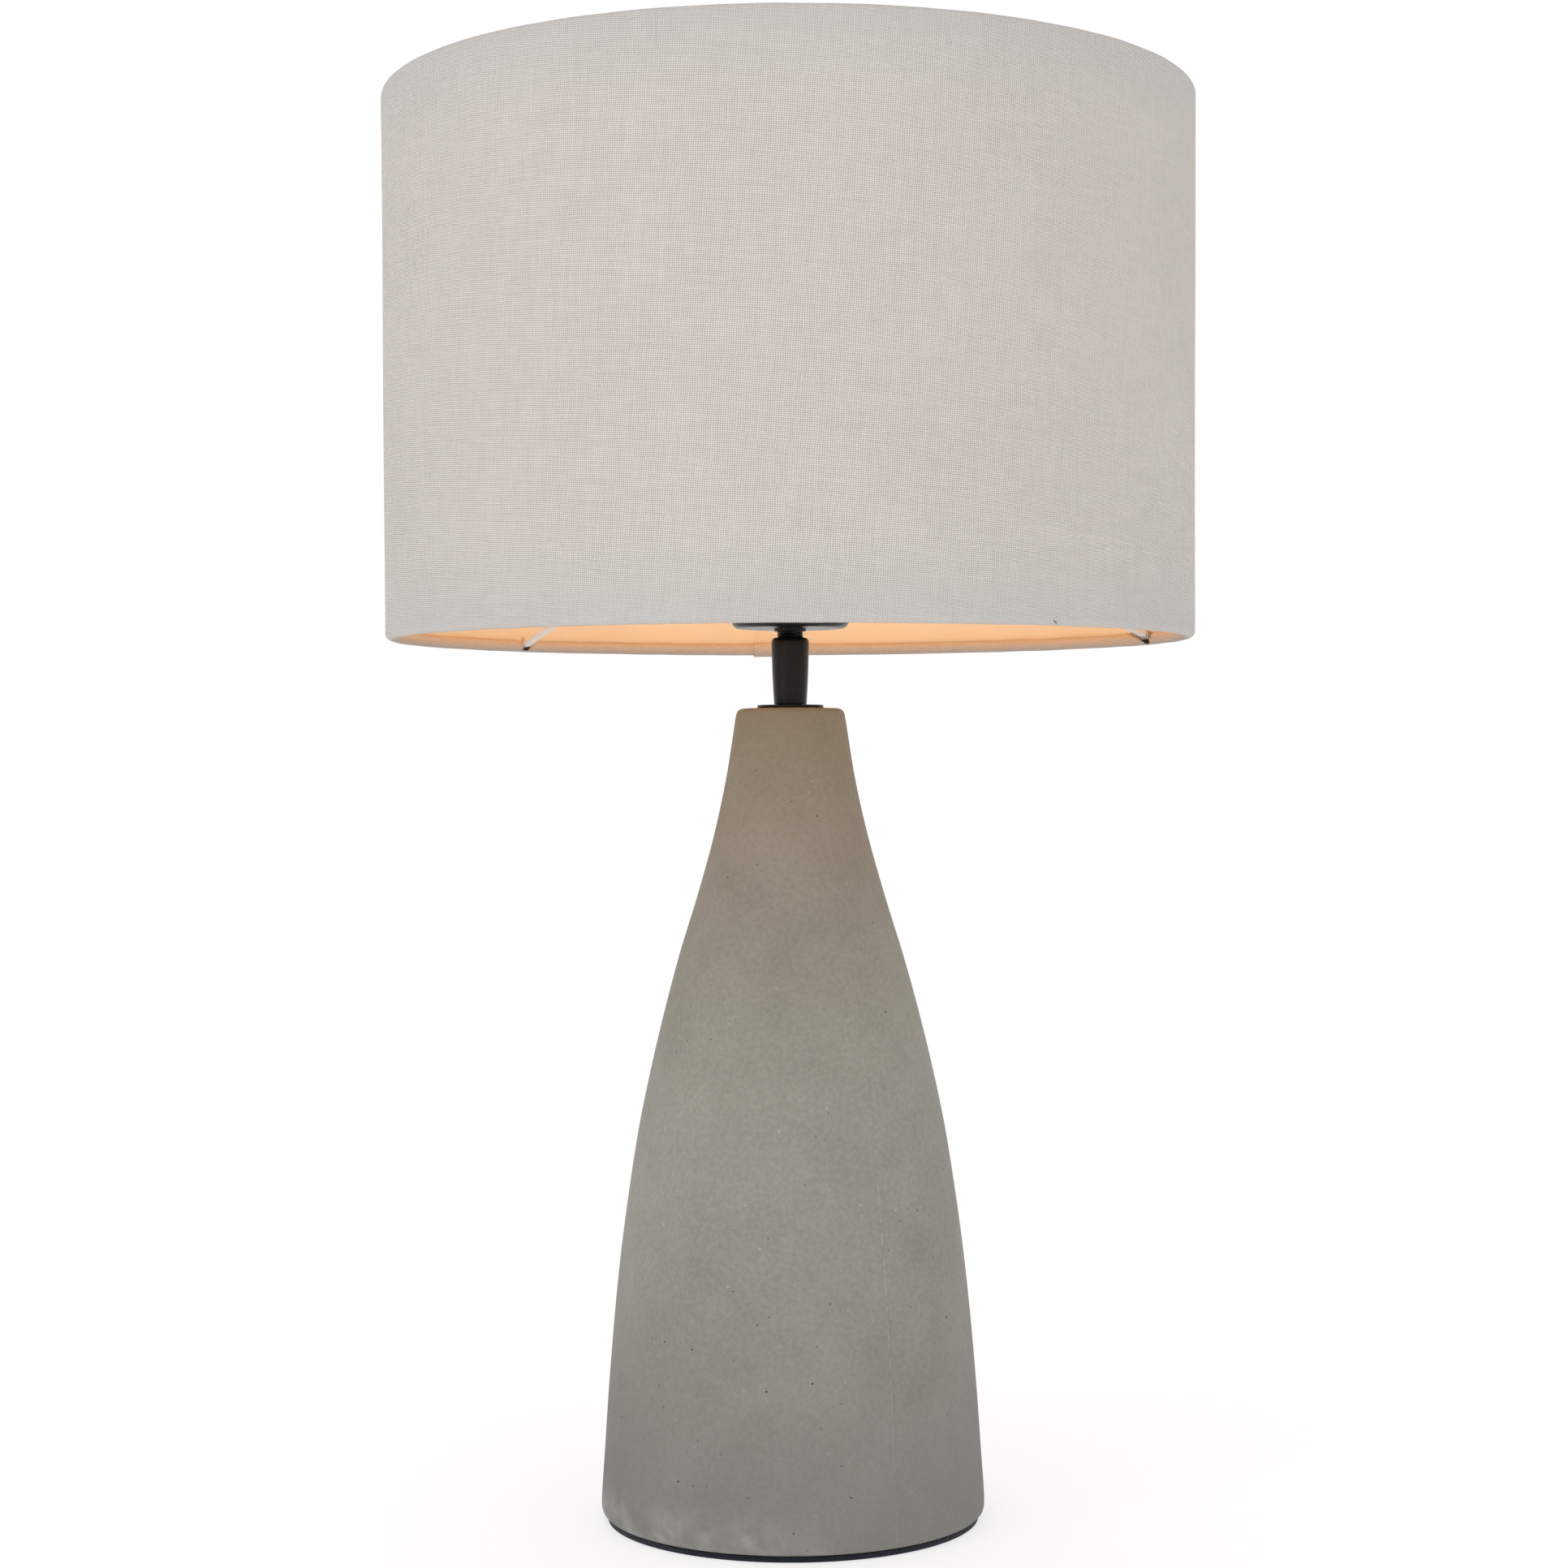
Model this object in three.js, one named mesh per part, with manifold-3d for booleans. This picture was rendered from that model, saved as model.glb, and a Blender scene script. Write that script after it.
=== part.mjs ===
// Table lamp: a cast concrete foot on a pad, a hollow threaded rod up its middle, a black neck and
// lampholder, a screw-in lamp, and a linen drum shade carried on a three-spoke wire frame.
// Millimetres, +Z up. The origin is the middle of the pad's underside.

import * as THREE from 'three';
import { mergeVertices } from 'three/addons/utils/BufferGeometryUtils.js';
import Module from 'manifold-3d';

const wasm = await Module();
wasm.setup();

// ---------------------------------------------------------------- driving dimensions

// Clearances
const GAP = 0.3; // between two pieces that rest on each other or sit one in the other
const OVERCUT = 1; // by which a cutting tool runs past the face it cuts

// Small chamfers
const FINE_CHAMFER = 0.8;
const CHAMFER = 1;

// Concrete foot
const FOOT_HEIGHT = 297;
const FOOT_RADIUS = 70.8; // at the bottom
const FOOT_TOP_RADIUS = 20.2;
const FOOT_EDGE = 2.5; // rounding of the top and bottom edges
const FOOT_WALL = 11.5;
const HOLLOW_ROOF = 42; // solid concrete left above the hollow
const FOOT_RIM = 8.8; // wall round the recess under the base plate
const RECESS_ROOM = 3.5; // left between the clamp stack and the foot's underside
// The foot's outline: [share of the height, share of the way from the top radius to the bottom one]
const FOOT_OUTLINE = [
  [0, 1],
  [0.155, 0.945],
  [0.31, 0.861],
  [0.465, 0.735],
  [0.593, 0.578],
  [0.697, 0.42],
  [0.8, 0.239],
  [0.902, 0.094],
  [1, 0],
];

// Pad, plate and clamp stack under the foot
const PAD_THICKNESS = 2;
const PAD_INSET = 2.2;
const PLATE_THICKNESS = 3;
const PLATE_CLEARANCE = 0.6;
const CLAMP_WASHER_WIDTH = 7.8;
const CLAMP_WASHER_THICKNESS = 1.6;
const LOCK_WASHER_WIDTH = 3.8;
const LOCK_WASHER_THICKNESS = 2.2;
const LOCK_WASHER_SPLIT = 1.2;
const NUT_ACROSS_FLATS = 17;
const NUT_THICKNESS = 5;

// Threaded rod, M10 by 1, and the bush on its lower end
const ROD_RADIUS = 4.9;
const ROD_BORE_RADIUS = 3.5;
const ROD_BELOW_NUT = 3;
const ROD_INTO_CAP = 7.5;
const BUSH_WALL = 1.6;
const BUSH_LIP = 2.2;
const BUSH_OVERHANG = 0.4; // of its lip inside the rod's bore
const BUSH_GRIP = 2.6;

// Cord outlet in the back of the foot
const OUTLET_RADIUS = 6;
const GROMMET_WALL = 2.3;
const GROMMET_FLANGE_WIDTH = 1.6; // beyond the outlet's edge
const GROMMET_FLANGE = 1.8;
const GROMMET_BELOW_PLATE = 0.9;

// Neck
const TOP_WASHER_RADIUS = 12.3;
const TOP_WASHER_THICKNESS = 1;
const NECK_LENGTH = 24.7;
const NECK_WALL = 0.85; // at its lower end
const NECK_FLARE = 0.85; // by which its upper end is wider
const NECK_BULGE = 0.45; // of its side beyond a straight taper
const NECK_EDGE = 1.5;
const NECK_GROOVE = 2.3; // bare rod between the neck and the lampholder

// Lampholder
const CAP_STEP = 0.6; // by which the cap is wider than the barrel above it
const CAP_HEIGHT = 17;
const CAP_EDGE = 2.5;
const CAP_WALL = 2.2;
const CAP_BOSS_WALL = 0.75;
const CAP_BOSS = 1.05;
const CAP_INNER_BOSS_WALL = 2.8;
const CAP_INNER_BOSS = 6;
const GRUB_RADIUS = 1.5;
const GRUB_RISE = 3.4; // of its axis above the cap's floor
const GRUB_SETBACK = 0.2; // of its end inside the boss
const SPIGOT_LENGTH = 8; // of the sleeve inside the cap
const BARREL_STEP = 1.4; // by which the barrel is wider than the threaded sleeve above it
const FLANGE_WIDTH = 4.4; // beyond the threaded sleeve
const FLANGE_THICKNESS = 2;
const FLANGE_TOP = 34.7; // above the cap's underside
const SLEEVE_WALL = 3.4; // where the shade ring screws on
const SLEEVE_SHOULDER = 1.6;
const SLEEVE_SHOULDER_HEIGHT = 2;
const SLEEVE_TOP = 58;
const SHADE_RING_SETBACK = 0.6; // of its flange inside the fitter ring's edge
const SHADE_RING_FLANGE = 2;
const SHADE_RING_WALL = 3.6;
const SHADE_RING_HEIGHT = 9;

// Contact insert in the lampholder
const INSERT_BOTTOM = 10; // above the cap's underside
const INSERT_THICKNESS = 12;
const SPRING_BORE_RADIUS = 3.6;
const SPRING_BORE_DEPTH = 9;
const SPRING_PLAY = 0.45; // round the spring, and round the stem inside it
const SPRING_WIRE_RADIUS = 0.25;
const SPRING_TURNS = 5;
const SPRING_STEPS = 8; // to one turn
const SPRING_SIDES = 5;
const PLUNGER_HEAD_OVERLAP = 0.8; // of its head beyond the bore
const PLUNGER_HEAD = 1.5;
const PLUNGER_HEAD_EDGE = 0.5;
const PLUNGER_STANDS = 1; // of its head's underside above the insert
const PLUNGER_ROOM = 1; // under its stem
const TERMINAL_WIDTH = 6;
const TERMINAL_HEIGHT = 7;
const TERMINAL_LENGTH = 6;
const TERMINAL_SETBACK = 1.9; // from the insert's rim
const WIRE_HOLE_RADIUS = 1.4;
const WIRE_HOLE_INSET = 2.4; // of its axis from the block's inner end
const TERMINAL_SCREW_RADIUS = 1.1;
const TERMINAL_SCREW_RISE = 2.8; // of its axis above the block's underside
const TERMINAL_SCREW_PROUD = 0.8;
const SCREW_SLOT = 0.5; // width and depth
const TAB_THICKNESS = 0.8;
const TAB_WIDTH = 4;

// Edison thread, 27 mm
const THREAD_PITCH = 3.63;
const THREAD_ROOT_RADIUS = 12.05; // of the lamp's cap
const THREAD_DEPTH = 1.1;
const THREAD_CLEARANCE = 0.35;
const SHELL_WALL = 0.7;
const SHELL_CLEARANCE = 0.4; // to the sleeve's shoulder
const SHELL_TOP = 42; // above the cap's underside
const THREAD_ROWS = 5; // rows of facets to one pitch

// Lamp, from the tip of its contact up
const LAMP_TIP_RADIUS = 4.8;
const LAMP_TIP_FACE_RADIUS = 3.4;
const LAMP_TIP = 1.5;
const LAMP_INSULATOR = 3.2;
const LAMP_INSULATOR_EDGE = 0.4; // of its underside beyond the tip
const LAMP_INSULATOR_PLAY = 0.6; // of its top inside the cap's bore
const LAMP_CAP_TOP = 27;
const LAMP_CAP_EDGE = 0.6; // taper below the thread
const LAMP_CAP_FLARE = 0.9; // of its plain end beyond the thread's root
const LAMP_THREAD_LENGTH = 14.5;
const LAMP_CAP_WALL = 0.85;
const LAMP_HOUSING_STEP = 2.15; // of its foot beyond the thread's root
const LAMP_HOUSING_BAND = 1.5; // straight stretch at its foot
const LAMP_HOUSING_TOP = 60;
const LAMP_HOUSING_WALL = 2;
const LAMP_GLOBE_RADIUS = 30;
const LAMP_GLOBE_CENTRE = 78;
const LAMP_GLOBE_WALL = 1.2;
const LED_BOARD_THICKNESS = 1.6;
const LED_BOARD_CLEARANCE = 1;

// Shade
const SHADE_HEIGHT = 200;
const SHADE_TOP_RADIUS = 150;
const SHADE_BOTTOM_RADIUS = 149;
const FABRIC = 0.6;
const LINER = 0.4;
const WIRE_RADIUS = 1.5;
const HEM_TUCK = 6; // height of the turned-in cloth
const HEM_FOLD = 0.8; // thickness of the cloth where it turns under the wire
const SEAM_WIDTH = 10;
const SEAM_AZIMUTH = 94;
const FITTER_WIDTH = 8.8;
const FITTER_THICKNESS = 1.5;
const FITTER_CLEARANCE = 1;
const FITTER_RISE = 39.6; // of its underside above the bottom rim
const SPOKE_COUNT = 3;
const SPOKE_AZIMUTH = 17.5;
const SPOKE_LEVEL = 30; // level stretch from the fitter ring outwards
const SPOKE_BEND = 6;
const SPOKE_FOOT_RISE = 0.6; // of its lower end above the wire ring's middle
const SPOKE_FOOT_PLAY = 0.2; // between its lower end and the hem
const NOTCH_CLEARANCE = 0.6;
const NOTCH_DEPTH = 3;

// Facets to a turn
const FOOT_FACETS = 32;
const SMALL_FACETS = 24;
const HOLDER_FACETS = 24;
const SHADE_FACETS = 48;
const CONTACT_FACETS = 16;
const SCREW_FACETS = 12;

// ---------------------------------------------------------------- places worked out from them

const footBottom = PAD_THICKNESS + GAP;
const footTop = footBottom + FOOT_HEIGHT;
const recessRadius = FOOT_RADIUS - FOOT_RIM;
const clampStack =
  PLATE_THICKNESS + CLAMP_WASHER_THICKNESS + LOCK_WASHER_THICKNESS + NUT_THICKNESS + 4 * GAP;
const recessRoof = footBottom + RECESS_ROOM + BUSH_LIP + GAP + ROD_BELOW_NUT + clampStack;
const plateBottom = recessRoof - GAP - PLATE_THICKNESS;
const clampWasherBottom = plateBottom - GAP - CLAMP_WASHER_THICKNESS;
const lockWasherBottom = clampWasherBottom - GAP - LOCK_WASHER_THICKNESS;
const nutBottom = lockWasherBottom - GAP - NUT_THICKNESS;
const rodBottom = nutBottom - ROD_BELOW_NUT;
const rodHoleRadius = ROD_RADIUS + GAP;
const lockWasherRadius = rodHoleRadius + LOCK_WASHER_WIDTH;
const grommetFlangeRadius = OUTLET_RADIUS + GROMMET_FLANGE_WIDTH;
const outletHeight = plateBottom - GROMMET_BELOW_PLATE - grommetFlangeRadius;
const topWasherBottom = footTop + GAP;
const neckBottom = topWasherBottom + TOP_WASHER_THICKNESS + GAP;
const neckTop = neckBottom + NECK_LENGTH;
const capUnderside = neckTop + NECK_GROOVE + CAP_BOSS;
const rodTop = capUnderside + ROD_INTO_CAP;

// Radii in the lampholder, from the thread outwards
const shellBoreRadius = THREAD_ROOT_RADIUS + THREAD_DEPTH + THREAD_CLEARANCE;
const shellRadius = shellBoreRadius + SHELL_WALL;
const shoulderRadius = shellRadius + SHELL_CLEARANCE;
const sleeveBoreRadius = shoulderRadius + SLEEVE_SHOULDER;
const insertRadius = sleeveBoreRadius - GAP;
const sleeveRadius = sleeveBoreRadius + SLEEVE_WALL;
const barrelRadius = sleeveRadius + BARREL_STEP;
const capRadius = barrelRadius + CAP_STEP;
const shadeRingBoreRadius = sleeveRadius + GAP;
const capInnerBossRadius = rodHoleRadius + CAP_INNER_BOSS_WALL;
const springRadius = SPRING_BORE_RADIUS - SPRING_PLAY - SPRING_WIRE_RADIUS;

// Heights in the lampholder, above the cap's underside
const insertTop = INSERT_BOTTOM + INSERT_THICKNESS;
const springFloor = insertTop - SPRING_BORE_DEPTH;
const plungerHeadBottom = insertTop + PLUNGER_STANDS;
const plungerTop = plungerHeadBottom + PLUNGER_HEAD;
const shellBottom = insertTop + 2 * GAP;
const lampTipHeight = plungerTop + GAP;
const shadeRingBottom = FLANGE_TOP + GAP + FITTER_THICKNESS + GAP;

// Shade, above its own bottom rim
const shadeBottom = capUnderside + FLANGE_TOP + GAP - FITTER_RISE;
const fitterInnerRadius = sleeveRadius + FITTER_CLEARANCE;
const fitterOuterRadius = fitterInnerRadius + FITTER_WIDTH;
const wireInset = FABRIC + GAP + WIRE_RADIUS; // from the cloth's outside to the wire's middle
const hemInset = wireInset + WIRE_RADIUS + GAP; // to the turned-in cloth's hidden side

// ---------------------------------------------------------------- finishes

const finish = (color, roughness, metalness, extra = {}) =>
  new THREE.MeshStandardMaterial({ color, roughness, metalness, ...extra });

const concrete = finish(0x97938a, 0.85, 0);
const felt = finish(0x1b1d2b, 0.95, 0);
const zincSteel = finish(0xa9abad, 0.4, 0.9);
const blackMetal = finish(0x14130f, 0.45, 0.3);
const blackRubber = finish(0x121212, 0.8, 0);
const blackPhenolic = finish(0x0b0b0c, 0.2, 0);
const porcelain = finish(0xe9e6dd, 0.25, 0);
const brass = finish(0xb8954b, 0.3, 0.9);
const nickel = finish(0xb9b6ae, 0.3, 0.95);
const whitePaintedSteel = finish(0xdcdad4, 0.4, 0.3);
const whitePlastic = finish(0xe8e7e2, 0.5, 0);
const opalPlastic = finish(0xfff1dc, 0.4, 0, { emissive: 0xffd9a8, emissiveIntensity: 1 });
const vitrite = finish(0x0d0f16, 0.1, 0);
const solder = finish(0x9a9a98, 0.45, 0.9);
const linen = finish(0xcfc8be, 0.9, 0);
const linerFilm = finish(0xefe3d2, 0.6, 0);

// ---------------------------------------------------------------- making shapes

const radians = (degrees) => (degrees * Math.PI) / 180;

// Points of a round stretch in the radius and height plane, from one angle to another
function arc(centreRadius, centreHeight, radius, fromDegrees, toDegrees, steps) {
  const points = [];
  for (let i = 0; i <= steps; i += 1) {
    const angle = radians(fromDegrees + ((toDegrees - fromDegrees) * i) / steps);
    points.push([centreRadius + radius * Math.cos(angle), centreHeight + radius * Math.sin(angle)]);
  }
  return points;
}

// A turned solid. The outline of [radius, height] points runs anticlockwise, with the radius to the
// right, and closes on itself unless it starts and ends on the axis.
function turned(outline, facets) {
  const points = outline.map(([radius, height]) => new THREE.Vector2(radius, height));
  const onAxis = points[0].x === 0 && points[points.length - 1].x === 0;
  if (!onAxis) {
    points.push(points[0].clone());
  }
  return new THREE.LatheGeometry(points, facets).rotateX(Math.PI / 2);
}

// A flat ring or disc as a turned outline
function ringOutline(innerRadius, outerRadius, bottom, top) {
  return [
    [innerRadius, bottom],
    [outerRadius, bottom],
    [outerRadius, top],
    [innerRadius, top],
  ];
}

const ring = (innerRadius, outerRadius, bottom, top, facets) =>
  turned(ringOutline(innerRadius, outerRadius, bottom, top), facets);

function block(size, centre) {
  return new THREE.BoxGeometry(...size).translate(...centre);
}

// A cylinder lying along +X from one place to another
function barAlongX(radius, from, to, height) {
  const bar = new THREE.CylinderGeometry(radius, radius, to - from, SCREW_FACETS);
  return bar.rotateZ(-Math.PI / 2).translate((from + to) / 2, 0, height);
}

function toSolid(geometry) {
  const bare = geometry.clone();
  bare.deleteAttribute('normal');
  bare.deleteAttribute('uv');
  const merged = mergeVertices(bare, 1e-4);
  return new wasm.Manifold(
    new wasm.Mesh({
      numProp: 3,
      vertProperties: merged.attributes.position.array,
      triVerts: Uint32Array.from(merged.index.array),
    }),
  );
}

function toGeometry(solid) {
  const mesh = solid.getMesh();
  const geometry = new THREE.BufferGeometry();
  geometry.setAttribute('position', new THREE.BufferAttribute(mesh.vertProperties, 3));
  geometry.setIndex(new THREE.BufferAttribute(mesh.triVerts, 1));
  geometry.computeVertexNormals();
  return geometry;
}

function cut(geometry, ...tools) {
  let solid = toSolid(geometry);
  for (const tool of tools) {
    solid = solid.subtract(toSolid(tool));
  }
  return toGeometry(solid);
}

const common = (geometry, tool) => toGeometry(toSolid(geometry).intersect(toSolid(tool)));

// A tube of round wire along a curve
function wire(curve, radius, steps, sides) {
  const section = new THREE.Shape();
  for (let i = 0; i < sides; i += 1) {
    const angle = (2 * Math.PI * i) / sides;
    const place = [radius * Math.cos(angle), radius * Math.sin(angle)];
    if (i === 0) {
      section.moveTo(...place);
    } else {
      section.lineTo(...place);
    }
  }
  section.closePath();
  return new THREE.ExtrudeGeometry(section, { steps, extrudePath: curve, bevelEnabled: false });
}

// Heights of the facet rows of a thread
function threadRows(from, to) {
  const count = Math.round(((to - from) / THREAD_PITCH) * THREAD_ROWS);
  return Array.from({ length: count + 1 }, (_, i) => from + ((to - from) * i) / count);
}

// Raises a right-handed round thread on the wall of a turned solid. The wall stands at the thread's
// root; an inner wall's thread stands inwards. A crest passes azimuth 0 at the height crestAt.
function raiseThread(geometry, wallRadius, from, to, crestAt, inwards) {
  const places = geometry.attributes.position;
  for (let i = 0; i < places.count; i += 1) {
    const [x, y, z] = [places.getX(i), places.getY(i), places.getZ(i)];
    const radius = Math.hypot(x, y);
    const onWall = Math.abs(radius - wallRadius) < 0.01 && z >= from && z <= to;
    if (onWall) {
      const runOut = THREE.MathUtils.smoothstep(Math.min(z - from, to - z), 0, THREAD_PITCH / 2);
      const wave = Math.cos((2 * Math.PI * (z - crestAt)) / THREAD_PITCH - Math.atan2(y, x));
      const stands = (THREAD_DEPTH * runOut * (inwards ? wave - 1 : wave + 1)) / 2;
      places.setX(i, (x * (radius + stands)) / radius);
      places.setY(i, (y * (radius + stands)) / radius);
    }
  }
  return geometry;
}

function piece(name, geometry, material) {
  const mesh = new THREE.Mesh(geometry, material);
  mesh.name = name;
  return mesh;
}

// ---------------------------------------------------------------- foot

const footSide = new THREE.SplineCurve(
  FOOT_OUTLINE.map(
    ([up, out]) =>
      new THREE.Vector2(
        FOOT_TOP_RADIUS + out * (FOOT_RADIUS - FOOT_TOP_RADIUS),
        footBottom + FOOT_EDGE + up * (FOOT_HEIGHT - 2 * FOOT_EDGE),
      ),
  ),
);

// Radius of the concrete's outside at a height
function footRadiusAt(height) {
  let [low, high] = [0, 1];
  for (let i = 0; i < 24; i += 1) {
    const middle = (low + high) / 2;
    [low, high] = footSide.getPoint(middle).y < height ? [middle, high] : [low, middle];
  }
  return footSide.getPoint(low).x;
}

// The hollow's wall, from its roof down to the recess
function hollowWall() {
  const roof = footTop - HOLLOW_ROOF;
  const steps = 5;
  const points = [];
  for (let i = 0; i <= steps; i += 1) {
    const height = roof + ((recessRoof - roof) * i) / steps;
    points.push([footRadiusAt(height) - FOOT_WALL, height]);
  }
  return points;
}

function concreteBody() {
  const outline = [
    ...arc(FOOT_RADIUS - FOOT_EDGE, footBottom + FOOT_EDGE, FOOT_EDGE, -90, 0, 3),
    ...footSide
      .getSpacedPoints(13)
      .slice(1, -1)
      .map((point) => [point.x, point.y]),
    ...arc(FOOT_TOP_RADIUS - FOOT_EDGE, footTop - FOOT_EDGE, FOOT_EDGE, 0, 90, 3),
    [rodHoleRadius, footTop],
    [rodHoleRadius, footTop - HOLLOW_ROOF],
    ...hollowWall(),
    [recessRadius, recessRoof],
    [recessRadius, footBottom],
  ];
  const outlet = new THREE.CylinderGeometry(OUTLET_RADIUS, OUTLET_RADIUS, FOOT_RADIUS, SMALL_FACETS);
  outlet.translate(0, FOOT_RADIUS, outletHeight);
  return cut(turned(outline, FOOT_FACETS), outlet);
}

function splitWasher() {
  const whole = ring(
    rodHoleRadius,
    lockWasherRadius,
    lockWasherBottom,
    lockWasherBottom + LOCK_WASHER_THICKNESS,
    SMALL_FACETS,
  );
  const middle = lockWasherBottom + LOCK_WASHER_THICKNESS / 2;
  const slit = block(
    [LOCK_WASHER_SPLIT, lockWasherRadius, 2 * LOCK_WASHER_THICKNESS],
    [0, -(lockWasherRadius + rodHoleRadius) / 2, middle],
  );
  return cut(whole, slit);
}

function hexNut() {
  const corner = NUT_ACROSS_FLATS / Math.sqrt(3);
  const outline = new THREE.Shape();
  for (let i = 0; i < 6; i += 1) {
    const place = [corner * Math.cos(radians(60 * i)), corner * Math.sin(radians(60 * i))];
    if (i === 0) {
      outline.moveTo(...place);
    } else {
      outline.lineTo(...place);
    }
  }
  outline.closePath();
  outline.holes.push(new THREE.Path().absarc(0, 0, rodHoleRadius, 0, 2 * Math.PI, true));
  const options = { depth: NUT_THICKNESS, bevelEnabled: false, curveSegments: SMALL_FACETS };
  return new THREE.ExtrudeGeometry(outline, options).translate(0, 0, nutBottom);
}

// A plastic cap pushed over the rod's lower end, so that its edge can't cut the leads
function rodEndBush() {
  const bottom = rodBottom - GAP - BUSH_LIP;
  const top = rodBottom + BUSH_GRIP;
  const radius = rodHoleRadius + BUSH_WALL;
  const boreRadius = ROD_BORE_RADIUS - BUSH_OVERHANG;
  return turned(
    [
      [boreRadius, bottom],
      [radius - CHAMFER, bottom],
      [radius, bottom + CHAMFER],
      [radius, top],
      [rodHoleRadius, top],
      [rodHoleRadius, rodBottom - GAP],
      [boreRadius, rodBottom - GAP],
    ],
    SMALL_FACETS,
  );
}

// A rubber grommet in the outlet, turned about +Y, with a flange on both sides of the wall
function cordGrommet() {
  const insideFlange = Math.sqrt(recessRadius ** 2 - grommetFlangeRadius ** 2) - GAP;
  const outsideFlange = FOOT_RADIUS + GAP;
  const bodyRadius = OUTLET_RADIUS - GAP;
  const boreRadius = bodyRadius - GROMMET_WALL;
  const outline = [
    [boreRadius, insideFlange - GROMMET_FLANGE],
    [grommetFlangeRadius, insideFlange - GROMMET_FLANGE],
    [grommetFlangeRadius, insideFlange],
    [bodyRadius, insideFlange],
    [bodyRadius, outsideFlange],
    [grommetFlangeRadius, outsideFlange],
    [grommetFlangeRadius - CHAMFER, outsideFlange + GROMMET_FLANGE],
    [boreRadius, outsideFlange + GROMMET_FLANGE],
  ];
  const grommet = piece('cord_grommet', turned(outline, SMALL_FACETS), blackRubber);
  grommet.rotation.x = -Math.PI / 2;
  grommet.position.z = outletHeight;
  return grommet;
}

function foot() {
  const group = new THREE.Group();
  const plateRadius = recessRadius - PLATE_CLEARANCE;
  const padRadius = FOOT_RADIUS - PAD_INSET;
  const pad = turned(
    [
      [0, 0],
      [padRadius, 0],
      [padRadius, PAD_THICKNESS],
      [0, PAD_THICKNESS],
    ],
    FOOT_FACETS,
  );
  const clampWasherRadius = rodHoleRadius + CLAMP_WASHER_WIDTH;
  const clampTop = clampWasherBottom + CLAMP_WASHER_THICKNESS;
  group.add(
    piece('base_pad', pad, felt),
    piece('concrete_body', concreteBody(), concrete),
    piece(
      'base_plate',
      ring(rodHoleRadius, plateRadius, plateBottom, plateBottom + PLATE_THICKNESS, FOOT_FACETS),
      zincSteel,
    ),
    piece(
      'clamp_washer',
      ring(rodHoleRadius, clampWasherRadius, clampWasherBottom, clampTop, SMALL_FACETS),
      zincSteel,
    ),
    piece('lock_washer', splitWasher(), zincSteel),
    piece('clamp_nut', hexNut(), zincSteel),
    piece(
      'threaded_rod',
      ring(ROD_BORE_RADIUS, ROD_RADIUS, rodBottom, rodTop, SMALL_FACETS),
      blackMetal,
    ),
    piece('rod_end_bush', rodEndBush(), blackRubber),
    cordGrommet(),
  );
  return group;
}

// ---------------------------------------------------------------- neck

// The neck is threaded on the rod and screws down on the washer; it narrows downwards in a low curve
function neckTube() {
  const bottomRadius = rodHoleRadius + NECK_WALL;
  const topRadius = bottomRadius + NECK_FLARE;
  const middleRadius = bottomRadius + NECK_FLARE / 2 + NECK_BULGE;
  const side = new THREE.QuadraticBezierCurve(
    new THREE.Vector2(bottomRadius, neckBottom),
    new THREE.Vector2(middleRadius, neckBottom + NECK_LENGTH / 2),
    new THREE.Vector2(topRadius, neckTop - NECK_EDGE),
  );
  const outline = [
    [rodHoleRadius, neckBottom],
    ...side.getPoints(4).map((point) => [point.x, point.y]),
    ...arc(topRadius - NECK_EDGE, neckTop - NECK_EDGE, NECK_EDGE, 0, 90, 3).slice(1),
    [rodHoleRadius, neckTop],
  ];
  return turned(outline, SMALL_FACETS);
}

function neck() {
  const group = new THREE.Group();
  const washerTop = topWasherBottom + TOP_WASHER_THICKNESS;
  group.add(
    piece(
      'top_washer',
      ring(rodHoleRadius, TOP_WASHER_RADIUS, topWasherBottom, washerTop, FOOT_FACETS),
      blackMetal,
    ),
    piece('neck_tube', neckTube(), blackMetal),
  );
  return group;
}

// ---------------------------------------------------------------- lampholder, above the cap's underside

const grubHeight = CAP_WALL + GRUB_RISE;

function holderCap() {
  const bossRadius = rodHoleRadius + CAP_BOSS_WALL;
  const insideRadius = capRadius - CAP_WALL;
  const outline = [
    [rodHoleRadius, -CAP_BOSS],
    [bossRadius, -CAP_BOSS],
    [bossRadius, 0],
    ...arc(capRadius - CAP_EDGE, CAP_EDGE, CAP_EDGE, -90, 0, 4),
    [capRadius, CAP_HEIGHT],
    [insideRadius, CAP_HEIGHT],
    [insideRadius, CAP_WALL + CHAMFER],
    [insideRadius - CHAMFER, CAP_WALL],
    [capInnerBossRadius, CAP_WALL],
    [capInnerBossRadius, CAP_WALL + CAP_INNER_BOSS],
    [rodHoleRadius, CAP_WALL + CAP_INNER_BOSS],
  ];
  const holeEnd = capInnerBossRadius + OVERCUT;
  const grubHole = barAlongX(GRUB_RADIUS + GAP, ROD_RADIUS, holeEnd, grubHeight);
  return cut(turned(outline, HOLDER_FACETS), grubHole);
}

// A headless slotted screw lying along +X
function slottedScrew(radius, from, to, height) {
  const slot = block([2 * SCREW_SLOT, 2 * (radius + OVERCUT), SCREW_SLOT], [to, 0, height]);
  return cut(barAlongX(radius, from, to, height), slot);
}

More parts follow.
